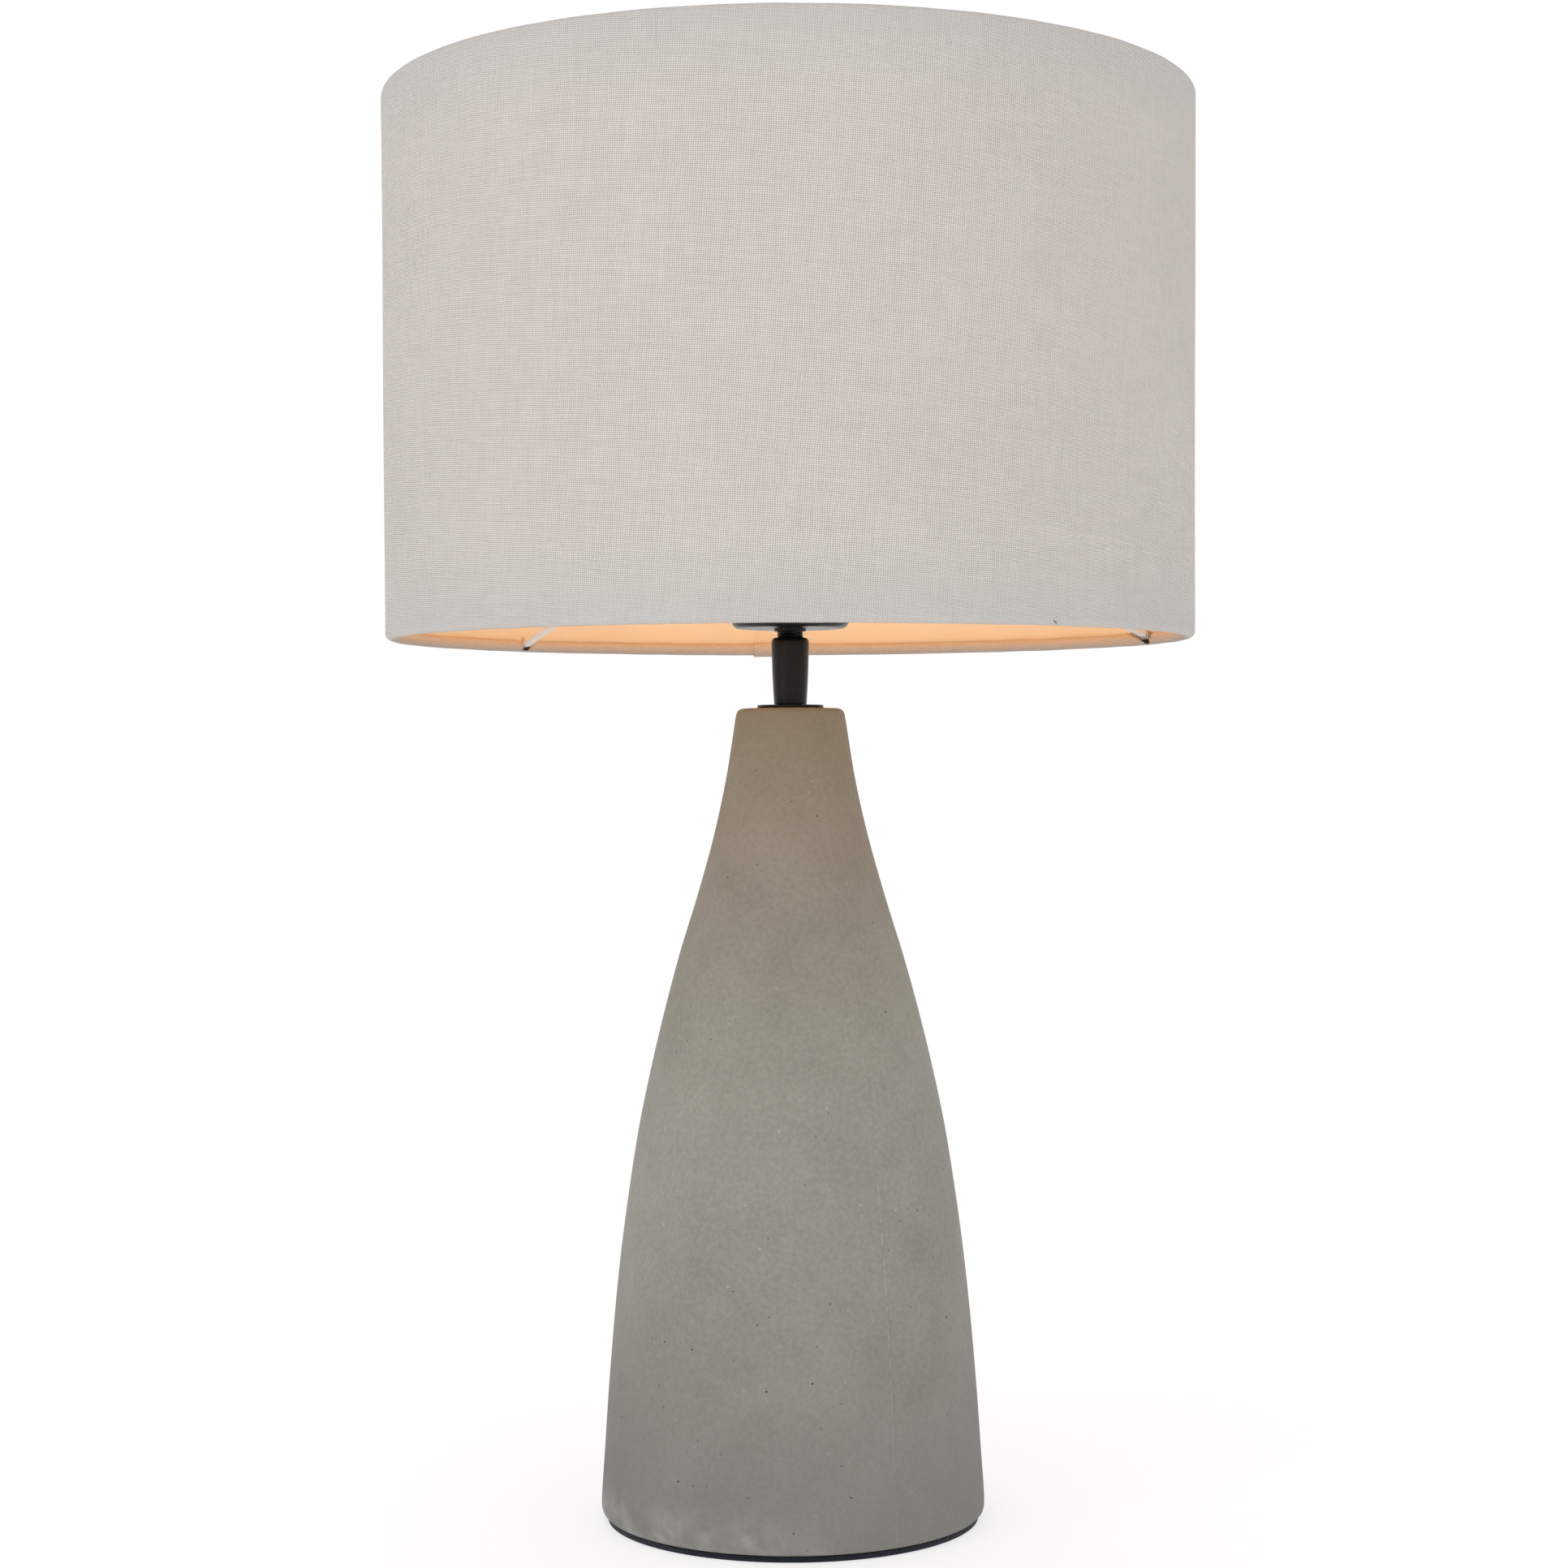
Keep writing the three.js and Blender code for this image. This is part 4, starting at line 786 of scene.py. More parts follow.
rib_sizes = {
    "Ribs": RIB_COUNT, "Circle": RIB_CIRCLE, "Rib radius": RIB_RADIUS, "Low": RIB_LOW,
    "High": RIB_HIGH, "Material": phenolic,
}
rib_tree, size = shape_tree("grip_ribs", rib_sizes)
circle = node(
    rib_tree, "GeometryNodeMeshCircle", {"Vertices": size["Ribs"], "Radius": size["Circle"]}
).outputs[0]
rib_length = sum_of(rib_tree, "SUBTRACT", size["High"], size["Low"])
rib = node(
    rib_tree, "GeometryNodeMeshCylinder",
    {"Vertices": 10, "Side Segments": 2, "Radius": size["Rib radius"], "Depth": rib_length},
).outputs[0]
middle = times(rib_tree, sum_of(rib_tree, "ADD", size["High"], size["Low"]), 0.5)
lift = node(rib_tree, "ShaderNodeCombineXYZ", {"Z": middle}).outputs[0]
ribs = node(
    rib_tree, "GeometryNodeInstanceOnPoints", {"Points": circle, "Instance": rib}
).outputs[0]
ribs = node(rib_tree, "GeometryNodeTransform", {"Geometry": ribs, "Translation": lift}).outputs[0]
joined = node(rib_tree, "GeometryNodeJoinGeometry")
rib_tree.links.new(ribs, joined.inputs[0])
rib_tree.links.new(size["Geometry"], joined.inputs[0])
ends_in(rib_tree, joined.outputs[0], size["Material"])
shaped_by(ring, rib_tree, rib_sizes)
fixed(ring, "ring", "black_phenolic", "shade_ring")

# Lamp. A screw-in lamp: a solder tip on a black glass insulator, a plated screw cap, a white
# plastic housing that flares into an opal globe, and a board of light sources inside the globe.
# It is lit, and gives the warm light inside the shade.
LAMP_LIGHT = (1.0, 0.55, 0.22)
LAMP_POWER = 1.25
LAMP_CORE = 0.016
GLOBE_GLOW = (1.0, 0.78, 0.52)
GLOBE_STRENGTH = 0.75

solder = finish(
    "lead_free_solder", ((0.50, 0.50, 0.51), (0.68, 0.68, 0.69)), 0.0015, (0.3, 0.5), 0.0003,
    0.00004, metallic=1.0,
)
vitrite = finish(
    "black_vitrite", ((0.006, 0.005, 0.009), (0.02, 0.017, 0.028)), 0.004, (0.05, 0.14),
    0.0008, 0.00003,
)
white_plastic = finish(
    "white_plastic", ((0.72, 0.71, 0.69), (0.79, 0.78, 0.76)), 0.01, (0.36, 0.5), 0.0005,
    0.00002,
)
refinished(solder, "bulb_tip_contact")
refinished(vitrite, "bulb_insulator")
refinished(white_plastic, "bulb_led_board")
turned_piece(
    "lamp_housing", "bulb_housing", "bulb", "white_plastic", white_plastic, 128, 0.0012, 0.0003
)
opal = finish(
    "lit_opal_plastic", ((0.78, 0.76, 0.72), (0.84, 0.83, 0.80)), 0.012, (0.30, 0.42), 0.0007,
    0.00002, Emission_Color=(*GLOBE_GLOW, 1), Emission_Strength=GLOBE_STRENGTH,
)
globe = turned_piece("opal_globe", "bulb_globe", "bulb", "opal_plastic", opal, 96, 0.0022, 0.0002)
globe.visible_shadow = False
globe_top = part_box("bulb_globe")[1]
lamp_light = bpy.data.lights.new("lamp_light", "POINT")
lamp_light.color = LAMP_LIGHT
lamp_light.energy = LAMP_POWER
lamp_light.shadow_soft_size = LAMP_CORE
put_in_scene("lamp_light", lamp_light).location = (0, 0, globe_top.z - globe_top.x)

# Shade frame. Two steel wire rings, a flat fitter ring and three bent wire spokes, welded
# together and painted white. The paint is a little thick, and the welds show as small swellings.
WIRE = 0.0015
WIRE_INSET = 0.0024
WIRE_JOINT_AZIMUTH = 212.0
SPOKE_AZIMUTHS = (17.5, 137.5, 257.5)
SPOKE_LEVEL = 0.030
SPOKE_BEND = 0.007
SPOKE_END = (0.1450, 0.32735)
SPOKE_ON_PLATE = 0.0006
SPOKE_ROWS, BEND_ROWS, LEG_ROWS = 10, 8, 40
BUTT_SWELLING, BUTT_LENGTH = 0.00018, 0.0016
WELD_SWELLING, WELD_LENGTH = 0.00055, 0.0022
WIRE_COLUMNS = 320
WIRE_SIDES = 14

white_paint = finish(
    "white_painted_steel", ((0.66, 0.65, 0.63), (0.75, 0.745, 0.73)), 0.006, (0.28, 0.42),
    0.0009, 0.00005,
)


def bar(path, girths, across, sides, closed):
    """The points and faces of a round bar along a flat path, with its radius at each point.
    across stands at right angles to the path's plane."""
    count = len(path)
    points, faces = [], []
    for i, here in enumerate(path):
        before = path[i - 1] if closed or i else here
        after = path[(i + 1) % count] if closed or i < count - 1 else here
        outwards = (after - before).normalized().cross(across)
        for k in range(sides):
            turn = 2 * math.pi * k / sides
            points.append(here + girths[i] * (outwards * math.cos(turn) + across * math.sin(turn)))
    for i in range(count if closed else count - 1):
        low, high = i * sides, (i + 1) % count * sides
        for k in range(sides):
            n = (k + 1) % sides
            faces.append((low + k, low + n, high + n, high + k))
    if not closed:
        faces.append(tuple(range(sides))[::-1])
        faces.append(tuple((count - 1) * sides + k for k in range(sides)))
    return points, faces


def swollen(off, swelling, length):
    """A wire's radius beside a weld, at a distance from its middle."""
    return WIRE + swelling * math.exp(-((off / length) ** 2))


def white_bar(name, cad_node, path, girths, across, closed, sharp=40):
    """A painted bar of the shade's frame."""
    points, faces = bar(path, girths, across, WIRE_SIDES, closed)
    made = body_of_mesh(name, points, faces, white_paint, sharp)
    fixed(made, "shade", "white_painted_steel", cad_node)


for name, cad_node in (("lower_wire", "bottom_wire_ring"), ("upper_wire", "top_wire_ring")):
    lo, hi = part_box(cad_node)
    reach = hi.x - WIRE
    path, girths = [], []
    for azimuth in every(WIRE_COLUMNS):
        turn = math.radians(azimuth)
        path.append(Vector((reach * math.cos(turn), reach * math.sin(turn), (lo.z + hi.z) / 2)))
        off = math.radians((azimuth - WIRE_JOINT_AZIMUTH + 180) % 360 - 180) * reach
        girths.append(swollen(off, BUTT_SWELLING, BUTT_LENGTH))
    white_bar(name, cad_node, path, girths, Vector((0, 0, 1)), True)

turned_piece(
    "fitter_plate", "fitter_ring", "shade", "white_painted_steel", white_paint, 144, 0.0015, 0.0005
)
fitter_lo, fitter_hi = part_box("fitter_ring")
level = (fitter_lo.z + fitter_hi.z) / 2
start = Vector((fitter_hi.x - SPOKE_ON_PLATE, level))
knee = Vector((fitter_hi.x + SPOKE_LEVEL, level))
spoke_end = Vector(SPOKE_END)
before = knee + (start - knee).normalized() * SPOKE_BEND
after = knee + (spoke_end - knee).normalized() * SPOKE_BEND
spoke_line = [start.lerp(before, i / SPOKE_ROWS) for i in range(SPOKE_ROWS)]
for share in (i / BEND_ROWS for i in range(BEND_ROWS)):
    spoke_line.append(before.lerp(knee, share).lerp(knee.lerp(after, share), share))
spoke_line += [after.lerp(spoke_end, i / LEG_ROWS) for i in range(LEG_ROWS + 1)]
girths = [
    swollen(min((p - start).length, (p - spoke_end).length * 1.4), WELD_SWELLING, WELD_LENGTH)
    for p in spoke_line
]
girths[0] *= 0.8
girths[-1] *= 0.75
for number, azimuth in enumerate(SPOKE_AZIMUTHS, 1):
    out = Vector((math.cos(math.radians(azimuth)), math.sin(math.radians(azimuth)), 0))
    path = [out * p[0] + Vector((0, 0, p[1])) for p in spoke_line]
    across = out.cross(Vector((0, 0, 1)))
    white_bar(f"wire_spoke_{number}", f"spoke_{number}", path, girths, across, False, 60)

# Liner. A thin clear-white plastic film, to which the linen is glued. It is rolled with the
# linen, its ends lap at the back, and the lamp's light makes it glow.
LINER_THICK = 0.0004
LINER_LAP = 0.006
LINER_LIFT = 0.00048
SEAM_AZIMUTH = 94.0
LAP_RISE = 2.5
LAP_COLUMNS = 6
SHEET_STEP = 0.75
LINER_ROWS = 40
LINER_THROUGH = 0.35
LINER_TINT = (0.92, 0.86, 0.78)


def rolled_sheet(name, line, thick, lap, lift, spots, shake, is_cut, material):
    """A sheet rolled into a drum, its ends lapped at the seam. line is its section: points, each
    with the direction in which the lapping end stands off. Its one UV map is the flat sheet, in
    metres. spots are azimuths that need finer columns, and is_cut says where cloth is missing."""
    mean = sum(p[0] for p, away in line) / len(line)
    lap_turn = math.degrees(lap / mean)
    start = SEAM_AZIMUTH - lap_turn / 2
    turns = {round((a - start) % 360, 4) for a in every(round(360 / SHEET_STEP)) + spots} | {0.0}
    turns = sorted(t for t in turns if t < 359.9) + [
        360 + lap_turn * k / LAP_COLUMNS for k in range(LAP_COLUMNS + 1)
    ]
    lengths = [0.0]
    for (p, away), (q, other) in zip(line, line[1:]):
        lengths.append(lengths[-1] + (q - p).length)
    points, flat, faces = [], [], []
    for turn in turns:
        azimuth = math.radians(start + turn)
        raised = min(1.0, max(0.0, 1 - (360 - turn) / LAP_RISE))
        off = lift * raised * raised * (3 - 2 * raised)
        for (p, away), length in zip(line, lengths):
            radius, height = shake(p + away * off, azimuth, length / lengths[-1])
            points.append((radius * math.cos(azimuth), radius * math.sin(azimuth), height))
            flat.append((math.radians(turn) * mean, length))
    rows = len(line)
    for c in range(len(turns) - 1):
        middle = start + (turns[c] + turns[c + 1]) / 2
        for r in range(rows - 1):
            if not is_cut(middle, r):
                at = c * rows + r
                faces.append((at, at + rows, at + rows + 1, at + 1))
    mesh = bpy.data.meshes.new(name)
    mesh.from_pydata(points, [], faces)
    cloth_map = mesh.uv_layers.new(name="flat_sheet")
    for loop in mesh.loops:
        cloth_map.data[loop.index].uv = flat[loop.vertex_index]
    mesh.materials.append(material)
    mesh.polygons.foreach_set("use_smooth", [True] * len(mesh.polygons))
    shape = bmesh.new()
    shape.from_mesh(mesh)
    bmesh.ops.delete(shape, geom=[v for v in shape.verts if not v.link_faces], context="VERTS")
    shape.to_mesh(mesh)
    shape.free()
    made = put_in_scene(name, mesh)
    wall = made.modifiers.new("thickness", "SOLIDIFY")
    wall.thickness = thick
    wall.offset = 0
    wall.use_even_offset = True
    settled(made)
    made.data.set_sharp_from_angle(angle=math.radians(50))
    return made


liner_lo, liner_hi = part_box("shade_liner")
liner_corners = [v.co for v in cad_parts["shade_liner"].data.vertices]
liner_reach = [
    max(math.hypot(p.x, p.y) for p in liner_corners if abs(p.z - height) < 0.0005)
    - LINER_THICK / 2
    for height in (liner_lo.z, liner_hi.z)
]
liner_line = []
for i in range(LINER_ROWS + 1):
    share = i / LINER_ROWS
    radius = liner_reach[0] + (liner_reach[1] - liner_reach[0]) * share
    height = liner_lo.z + (liner_hi.z - liner_lo.z) * share
    liner_line.append((Vector((radius, height)), Vector((-1, 0))))


def let_through(material, share, tint):
    """Lets a share of the light pass through a sheet, spread and tinted by it."""
    tree = material.node_tree
    shader = tree.nodes["Principled BSDF"]
    through = node(tree, "ShaderNodeBsdfTranslucent", {"Color": (*tint, 1)})
    if shader.inputs["Normal"].links:
        tree.links.new(shader.inputs["Normal"].links[0].from_socket, through.inputs["Normal"])
    both = {0: share, 1: shader.outputs[0], 2: through.outputs[0]}
    mix = node(tree, "ShaderNodeMixShader", both)
    tree.links.new(mix.outputs[0], tree.nodes["Material Output"].inputs["Surface"])


film = finish(
    "clear_white_film", ((0.82, 0.71, 0.57), (0.86, 0.75, 0.61)), 0.05, (0.42, 0.55), 0.002,
    0.00002,
)
let_through(film, LINER_THROUGH, LINER_TINT)
liner = rolled_sheet(
    "film_liner", liner_line, LINER_THICK, LINER_LAP, LINER_LIFT, [],
    lambda p, azimuth, share: p, lambda azimuth, row: False, film,
)
fixed(liner, "shade", "liner_film", "shade_liner")

# Linen. One strip of plain-woven natural linen, rolled round the liner, turned in over both wire
# rings and glued down inside. Its ends lap at the back, and it is notched where the spokes pass.
CLOTH_THICK = 0.0006
CLOTH_LAP = 0.010
CLOTH_LIFT = 0.00066
CLOTH_WAVER = 0.00022
CLOTH_ROWS = 56
WRAP_RADIUS = 0.0021
WRAP_END = 145.0
WRAP_ROWS = 16
TUCK_HEIGHT = 0.0023
TUCK_ROWS = 4
GLUE_THICK = 0.0001
NOTCH_HALF = 0.95
NOTCH_COLUMNS = (-0.95, -0.6, -0.3, 0.3, 0.6, 0.95)
NOTCH_ROWS = 10
WARP_PITCH, WARP_WANDER = 0.00077, 0.011
WEFT_PITCH, WEFT_WANDER = 0.00070, 0.017
WANDER = 0.0011
UNDER_SHARE = 0.45
SLUB_LENGTH = 0.016
WEAVE_SKEW = math.radians(4)
WEAVE_RELIEF = 0.00022
TONE_SHARE, HEIGHT_SHARE = 0.60, 1.00
LINEN_CLOUDS, CLOUDS_SHARE, LINEN_SHIFT = 0.05, 0.08, -0.215
# Painted shade on the turned-in hems and beside the rims:
HEM_SHADE_BAND, HEM_SHADE_TONE = (0.0085, 0.0062), 0.75
TUCK_SHADE_BAND, TUCK_SHADE_TONE = (0.0036, 0.0020), 0.7
RIM_SHADE_BAND, RIM_SHADE_TONE = (0.034, 0.0095), 0.34
LINEN_DARK = (0.46, 0.415, 0.375)
LINEN_LIGHT = (0.98, 0.93, 0.885)
LINEN_HEM_SHADE = (0.53, 0.42, 0.34)
LINEN_TUCK_SHADE = (0.66, 0.48, 0.33)
LINEN_RIM_SHADE = (0.66, 0.67, 0.67)
LINEN_TINT = (0.80, 0.70, 0.60)
LINEN_THROUGH = 0.20

# Weave: plain cloth from one thread over and one under, on a map in metres. Each thread has its
# own tone, wanders a little, and swells in places.
weave, given, out = node_group(
    "plain_weave",
    {"Vector": None, "Warp pitch": 0.001, "Weft pitch": 0.001, "Slub length": 0.02},
    ["Height", "Tone"],
)


def wandering(vector, size, by):
    """A slow drift along the cloth, in metres."""
    drift = node(weave, "ShaderNodeTexNoise", {"Vector": vector, "Scale": 1 / size}).outputs[0]
    return times(weave, sum_of(weave, "SUBTRACT", drift, 0.5), by)


flat = node(weave, "ShaderNodeSeparateXYZ", {0: given["Vector"]}).outputs
threads = {}
for key, along, across, pitch, size in (
    ("warp", flat[1], flat[0], given["Warp pitch"], WARP_WANDER),
    ("weft", flat[0], flat[1], given["Weft pitch"], WEFT_WANDER),
):
    drift = wandering(given["Vector"], size, WANDER)
    count = sum_of(weave, "DIVIDE", sum_of(weave, "ADD", across, drift), pitch)
    number = sum_of(weave, "FLOOR", count)
    share = sum_of(weave, "FRACT", count)
    crown = sum_of(weave, "SINE", times(weave, share, math.pi))
    length = sum_of(weave, "DIVIDE", along, given["Slub length"])
    own = node(
        weave, "ShaderNodeCombineXYZ", {"X": times(weave, number, 7.31), "Y": length}
    ).outputs[0]
    tone = node(
        weave, "ShaderNodeTexNoise", {"Vector": own, "Scale": 1.0, "Detail": 3.0}
    ).outputs[0]
    threads[key] = number, crown, tone
crossing = sum_of(weave, "ADD", threads["warp"][0], threads["weft"][0])
over = sum_of(weave, "MODULO", sum_of(weave, "ADD", crossing, 4000.0), 2.0)


def whichever(one, other):
    """One value where the warp is on top, and the other where the weft is."""
    return node(weave, "ShaderNodeMix", {0: over, 2: one, 3: other}).outputs[0]


def dipped(crown, under):
    """A thread's height, as it rises over the other."""
    rise = sum_of(weave, "MULTIPLY_ADD", under, UNDER_SHARE, 1 - UNDER_SHARE)
    return times(weave, crown, rise)


height = whichever(
    dipped(threads["weft"][1], threads["warp"][1]),
    dipped(threads["warp"][1], threads["weft"][1]),
)
tone = whichever(threads["weft"][2], threads["warp"][2])
give(weave, out, {"Height": height, "Tone": tone})

rim_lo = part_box("bottom_hem")[0]
rim_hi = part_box("top_hem")[1]
LOW_WIRE = Vector((-rim_lo.x - WIRE_INSET, rim_lo.z + WIRE_INSET))
HIGH_WIRE = Vector((rim_hi.x - WIRE_INSET, rim_hi.z - WIRE_INSET))


def hem_section(centre, side):
    """The section of the turned-in hem round a wire ring, from its glued end to the outside, as
    points and the directions away from the wire. side is -1 below and 1 above."""
    arc = []
    for i in range(WRAP_ROWS + 1):
        turn = math.radians(360 - WRAP_END) * i / WRAP_ROWS
        away = Vector((math.cos(turn), side * math.sin(turn)))
        arc.append((centre + away * WRAP_RADIUS, away))
    last, away = arc[-1]
    liner_face = liner_reach[0 if side < 0 else 1] - LINER_THICK / 2 - CLOTH_THICK / 2
    glued_end = Vector((liner_face - GLUE_THICK, centre.y - side * TUCK_HEIGHT))
    arc += [(last.lerp(glued_end, k / TUCK_ROWS), away) for k in range(1, TUCK_ROWS + 1)]
    return arc[::-1]


lower = hem_section(LOW_WIRE, -1)
upper = hem_section(HIGH_WIRE, 1)[::-1]
side_low, side_high = lower[-1][0], upper[0][0]
linen_line = lower + [
    (side_low.lerp(side_high, i / CLOTH_ROWS), Vector((1, 0))) for i in range(1, CLOTH_ROWS)
] + upper
linen_width = sum((q[0] - p[0]).length for p, q in zip(linen_line, linen_line[1:]))

linen, tree, shader = blank("natural_linen")
cloth = node(tree, "ShaderNodeUVMap", uv_map="flat_sheet").outputs[0]
turned_cloth = node(
    tree, "ShaderNodeMapping", {"Vector": cloth, "Rotation": (0, 0, WEAVE_SKEW)}
).outputs[0]
woven = node(
    tree, "ShaderNodeGroup",
    {
        "Vector": turned_cloth, "Warp pitch": WARP_PITCH, "Weft pitch": WEFT_PITCH,
        "Slub length": SLUB_LENGTH,
    },
    node_tree=weave,
).outputs
spot = node(tree, "ShaderNodeTexCoord").outputs["Object"]
clouds = placed(tree, grain_tree, Vector=spot, Size=LINEN_CLOUDS, Contrast=0.9)
thread_tone = sum_of(
    tree, "ADD",
    times(tree, woven["Tone"], TONE_SHARE),
    times(tree, woven["Height"], HEIGHT_SHARE),
)
cloud_tone = sum_of(tree, "MULTIPLY_ADD", clouds, CLOUDS_SHARE, LINEN_SHIFT)
shade_of = sum_of(tree, "ADD", thread_tone, cloud_tone)
shade_of = node(tree, "ShaderNodeClamp", {"Value": shade_of}).outputs[0]
colour = blended(tree, shade_of, LINEN_DARK, LINEN_LIGHT)
across = node(tree, "ShaderNodeSeparateXYZ", {0: cloth}).outputs["Y"]
off_middle = sum_of(tree, "ABSOLUTE", sum_of(tree, "SUBTRACT", across, linen_width / 2))
from_end = sum_of(tree, "SUBTRACT", linen_width / 2, off_middle)
# Towards both ends of the strip the linen is painted darker and warmer: painted shade on the
# underside and inside of the rolled hems, and a darker orange band of painted shade where the
# tucked end meets the liner.
colour = blended(tree, faded(tree, from_end, *HEM_SHADE_BAND, HEM_SHADE_TONE), colour, LINEN_HEM_SHADE)
colour = blended(tree, faded(tree, from_end, *TUCK_SHADE_BAND, TUCK_SHADE_TONE), colour, LINEN_TUCK_SHADE)
# Beside the rims the linen is painted cooler and greyer: painted shade, where less of the lamp's
# warm light shines through.
rim_shade = faded(tree, from_end, *RIM_SHADE_BAND, RIM_SHADE_TONE)
rim_shade = times(tree, rim_shade, sum_of(tree, "GREATER_THAN", from_end, HEM_SHADE_BAND[0]))
colour = blended(tree, rim_shade, colour, LINEN_RIM_SHADE)
bump = node(tree, "ShaderNodeBump", {"Height": woven["Height"], "Distance": WEAVE_RELIEF})
give(tree, shader, {
    "Base Color": colour, "Roughness": ranged(tree, woven["Tone"], 0.80, 0.96),
    "Normal": bump.outputs[0], "Specular IOR Level": 0.2, "Sheen Weight": 0.08,
})
let_through(linen, LINEN_THROUGH, LINEN_TINT)


def hand_made(p, azimuth, share):
    """The small unevenness of a hand-glued rim and of cloth on a wire frame."""
    here = Vector((math.cos(azimuth) * 2.2, math.sin(azimuth) * 2.2, share * 1.5))
    edge = abs(2 * share - 1) ** 8
    return (
        p[0] + CLOTH_WAVER * noise.noise(here * 1.7) * (1 - edge),
        p[1] + CLOTH_WAVER * noise.noise(here * 5.0) * edge,
    )


def notched(azimuth, row):
    """Where the turned-in cloth is cut away for a spoke."""
    off = min(abs((azimuth - spoke + 180) % 360 - 180) for spoke in SPOKE_AZIMUTHS)
    return row < NOTCH_ROWS and off < NOTCH_HALF * (1 - 0.045 * row)


notch_columns = [spoke + side for spoke in SPOKE_AZIMUTHS for side in NOTCH_COLUMNS]
drum = rolled_sheet(
    "linen_drum", linen_line, CLOTH_THICK, CLOTH_LAP, CLOTH_LIFT, notch_columns, hand_made,
    notched, linen,
)
fixed(drum, "shade", "linen", "shade_fabric", "top_hem", "bottom_hem", "fabric_seam")

# Loose threads. Where the hem was notched for the spokes the cut cloth has frayed into dark
# brown ends, paler and warmer higher up. Dark threads laid under the foot of one spoke are
# painted shade on its underside. One stray end stands out of the lower rim at the front.
FRAY_PLACES = ((17.5, 130, -0.0021), (137.5, 60, -0.0019), (257.5, 30, 0.0002))
FRAY_WIDTH = 0.16
FRAY_ROOM = 0.0016
FRAY_SPREAD = 0.42
FRAY_SHORT, FRAY_LONGER = 0.0011, 0.0042
SPOKE_SHADE_THREADS = 6
SPOKE_SHADE_LENGTHS = (0.004, 0.010)
SPOKE_SHADE_DROP = (0.0014, 0.0022)
STRAY_AZIMUTH = -54.0
STRAY_LENGTH = 0.0016
STRAY_TILTS = (-0.9, -0.4)
FRAY_STEPS = 6
FRAY_RADIUS = 0.00009
FRAY_CURL = 0.0012
FRAY_WIND = 700.0
THREAD_AND_SHADE_TONES = ((0.018, 0.009, 0.005), (0.060, 0.028, 0.012))
FRAY_TIPS = (0.36, 0.16, 0.06)
TIPS_FROM, TIPS_TO = -0.0008, 0.0022
fraying = random.Random(5)

fray_and_shade_points, fray_and_shade_edges = [], []


def thread_end(start, heading, length):
    """The straight run of one loose thread, which curls later."""
    first = len(fray_and_shade_points)
    for i in range(FRAY_STEPS + 1):
        fray_and_shade_points.append(start + heading.normalized() * length * i / FRAY_STEPS)
        if i:
            fray_and_shade_edges.append((first + i - 1, first + i))


for azimuth, count, low in FRAY_PLACES:
    for _ in range(count):
        turn = math.radians(azimuth + fraying.gauss(0, FRAY_WIDTH))
        radius = LOW_WIRE.x - WRAP_RADIUS + fraying.uniform(-0.0005, 0.0003)
        height = LOW_WIRE.y + low + FRAY_ROOM * fraying.random() ** 2
        start = Vector((radius * math.cos(turn), radius * math.sin(turn), height))
        sideways = fraying.gauss(0, FRAY_SPREAD), fraying.gauss(0, FRAY_SPREAD)
        heading = Vector((*sideways, fraying.uniform(0.3, 1.2)))
        thread_end(start, heading, FRAY_SHORT + FRAY_LONGER * fraying.random() ** 2)
# Dark threads laid under the foot of the first spoke, along it: painted shade on the spoke's unlit
# underside.
turn = math.radians(FRAY_PLACES[0][0])
inwards = Vector((-math.cos(turn), -math.sin(turn), 0))
rise = (level - SPOKE_END[1]) / (SPOKE_END[0] - fitter_hi.x - SPOKE_LEVEL)
for _ in range(SPOKE_SHADE_THREADS):
    start = Vector((0, 0, SPOKE_END[1] - fraying.uniform(*SPOKE_SHADE_DROP)))
    start -= inwards * (SPOKE_END[0] - fraying.uniform(0.0, 0.003))
    thread_end(start, inwards + Vector((0, 0, rise)), fraying.uniform(*SPOKE_SHADE_LENGTHS))
turn = math.radians(STRAY_AZIMUTH)
outwards = Vector((math.cos(turn), math.sin(turn), 0))
start = outwards * (LOW_WIRE.x + WRAP_RADIUS + 0.0002) + Vector((0, 0, LOW_WIRE.y - 0.0006))
for tilt in STRAY_TILTS:
    thread_end(start, outwards * 0.5 + Vector((0.2, 0, tilt)), STRAY_LENGTH)
fray_mesh = bpy.data.meshes.new("loose_threads_and_spoke_shade")
fray_mesh.from_pydata(fray_and_shade_points, fray_and_shade_edges, [])
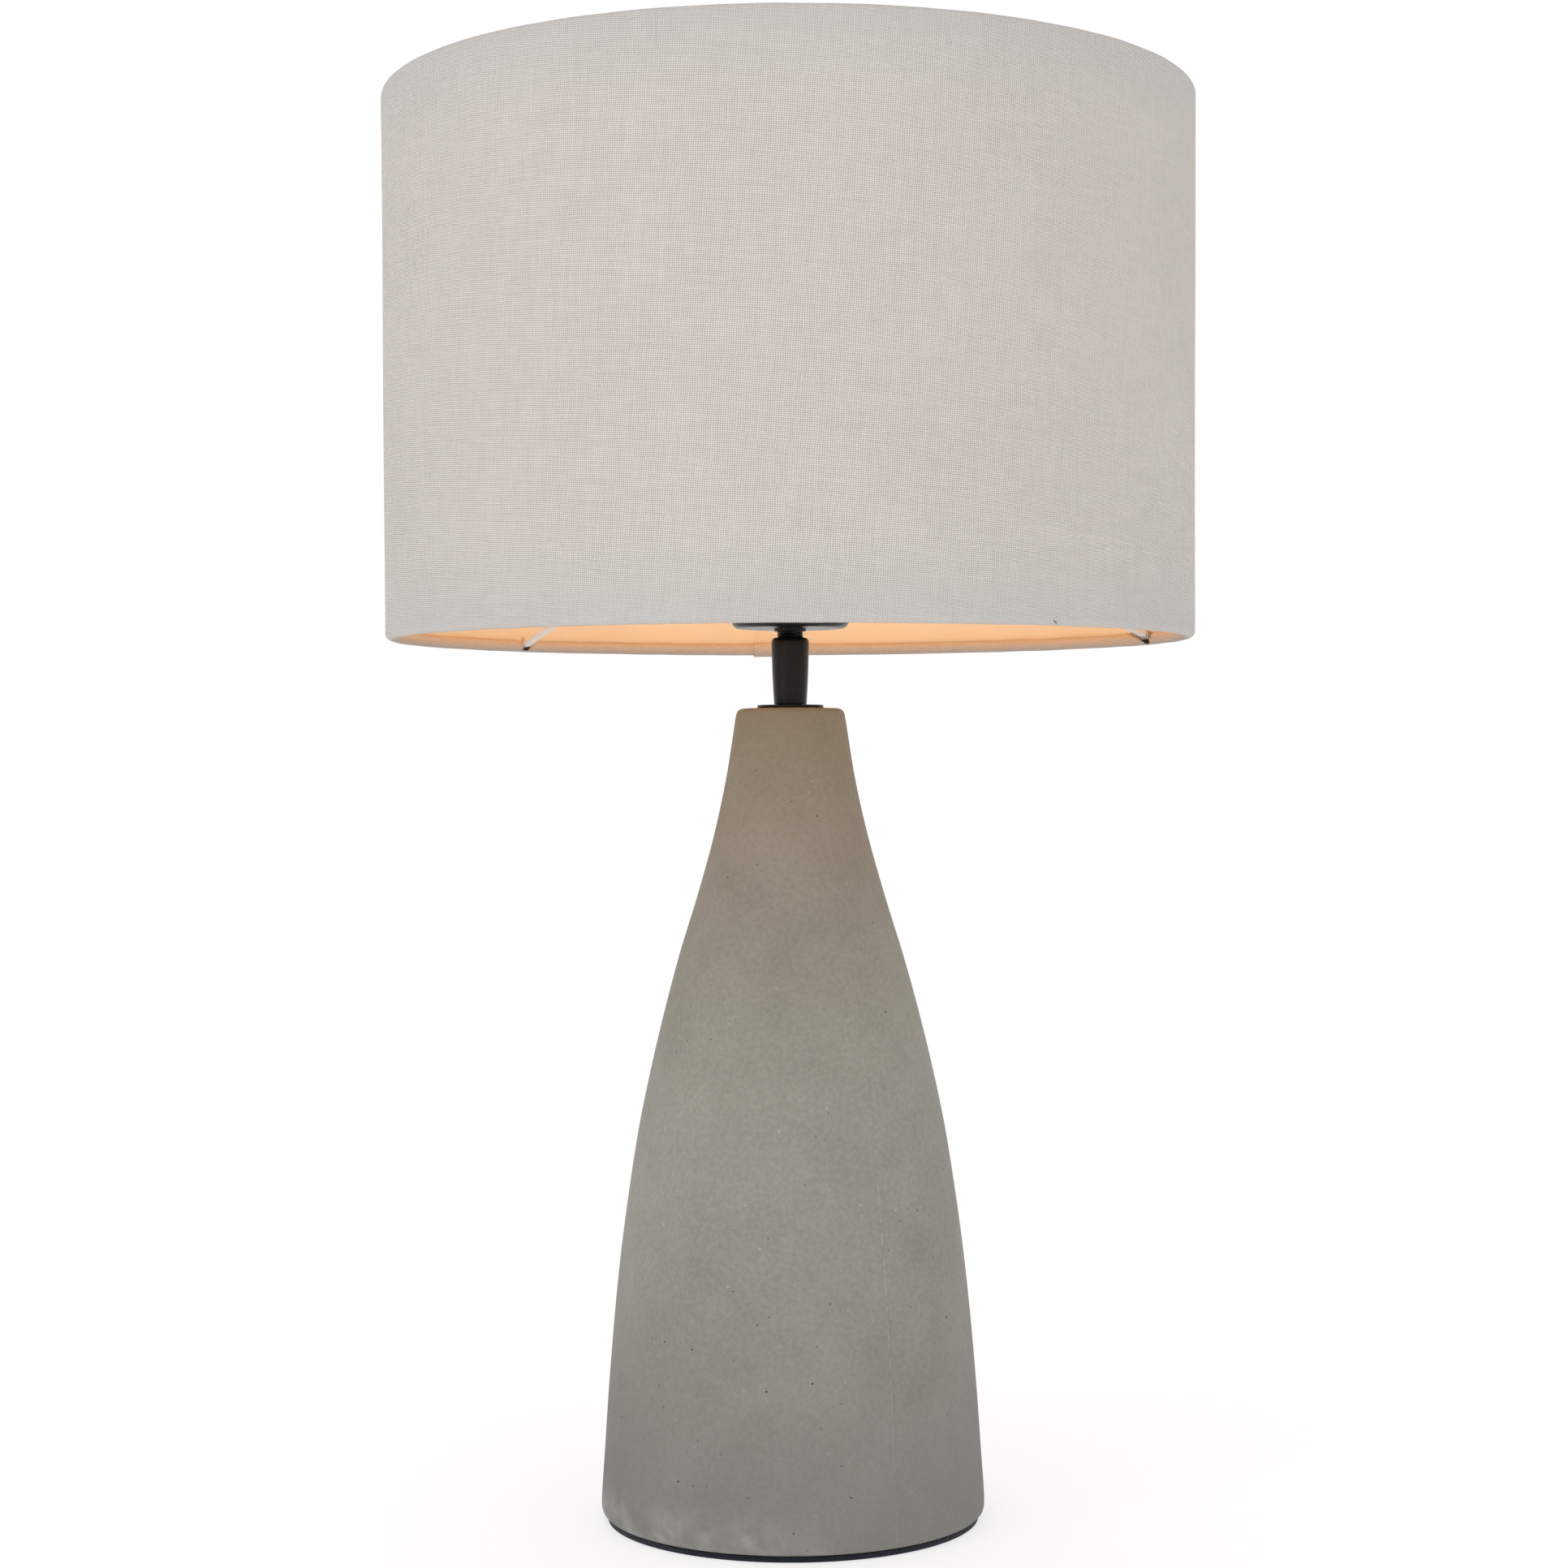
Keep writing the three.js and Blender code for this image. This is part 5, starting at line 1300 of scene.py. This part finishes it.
threads_and_spoke_shade = put_in_scene("loose_threads_and_spoke_shade", fray_mesh)

# One dark finish for the frayed ends and for the threads of painted spoke shade.
thread_and_shade_finish = finish("frayed_ends_and_spoke_shade", THREAD_AND_SHADE_TONES, 0.004, (0.75, 0.9), 0.0002, 0.00001)
tree = thread_and_shade_finish.node_tree
base = tree.nodes["Principled BSDF"].inputs["Base Color"]
spot = node(tree, "ShaderNodeTexCoord").outputs["Object"]
height = node(tree, "ShaderNodeSeparateXYZ", {0: spot}).outputs["Z"]
tip = faded(tree, height, LOW_WIRE.y + TIPS_FROM, LOW_WIRE.y + TIPS_TO)
tree.links.new(blended(tree, tip, base.links[0].from_socket, FRAY_TIPS), base)

fray_sizes = {"Radius": FRAY_RADIUS, "Curl": FRAY_CURL, "Material": thread_and_shade_finish}
fray_tree, size = shape_tree("curled_threads", fray_sizes)
runs = node(fray_tree, "GeometryNodeMeshToCurve", {0: size["Geometry"]}).outputs[0]
runs = node(fray_tree, "GeometryNodeResampleCurve", {"Curve": runs, "Count": 12}).outputs[0]
wind = node(
    fray_tree, "ShaderNodeTexNoise",
    {"Vector": node(fray_tree, "GeometryNodeInputPosition").outputs[0], "Scale": FRAY_WIND},
).outputs["Color"]
wind = node(
    fray_tree, "ShaderNodeVectorMath", {0: wind, 1: (0.5, 0.5, 0.5)}, operation="SUBTRACT"
).outputs[0]
wind = node(
    fray_tree, "ShaderNodeVectorMath", {0: wind, 3: size["Curl"]}, operation="SCALE"
).outputs[0]
runs = node(fray_tree, "GeometryNodeSetPosition", {"Geometry": runs, "Offset": wind}).outputs[0]
ring_of = node(
    fray_tree, "GeometryNodeCurvePrimitiveCircle", {"Resolution": 6, "Radius": size["Radius"]}
).outputs[0]
runs = node(
    fray_tree, "GeometryNodeCurveToMesh",
    {"Curve": runs, "Profile Curve": ring_of, "Fill Caps": True},
).outputs[0]
ends_in(fray_tree, runs, size["Material"])
shaped_by(threads_and_spoke_shade, fray_tree, fray_sizes)
fixed(threads_and_spoke_shade, "shade", "linen")
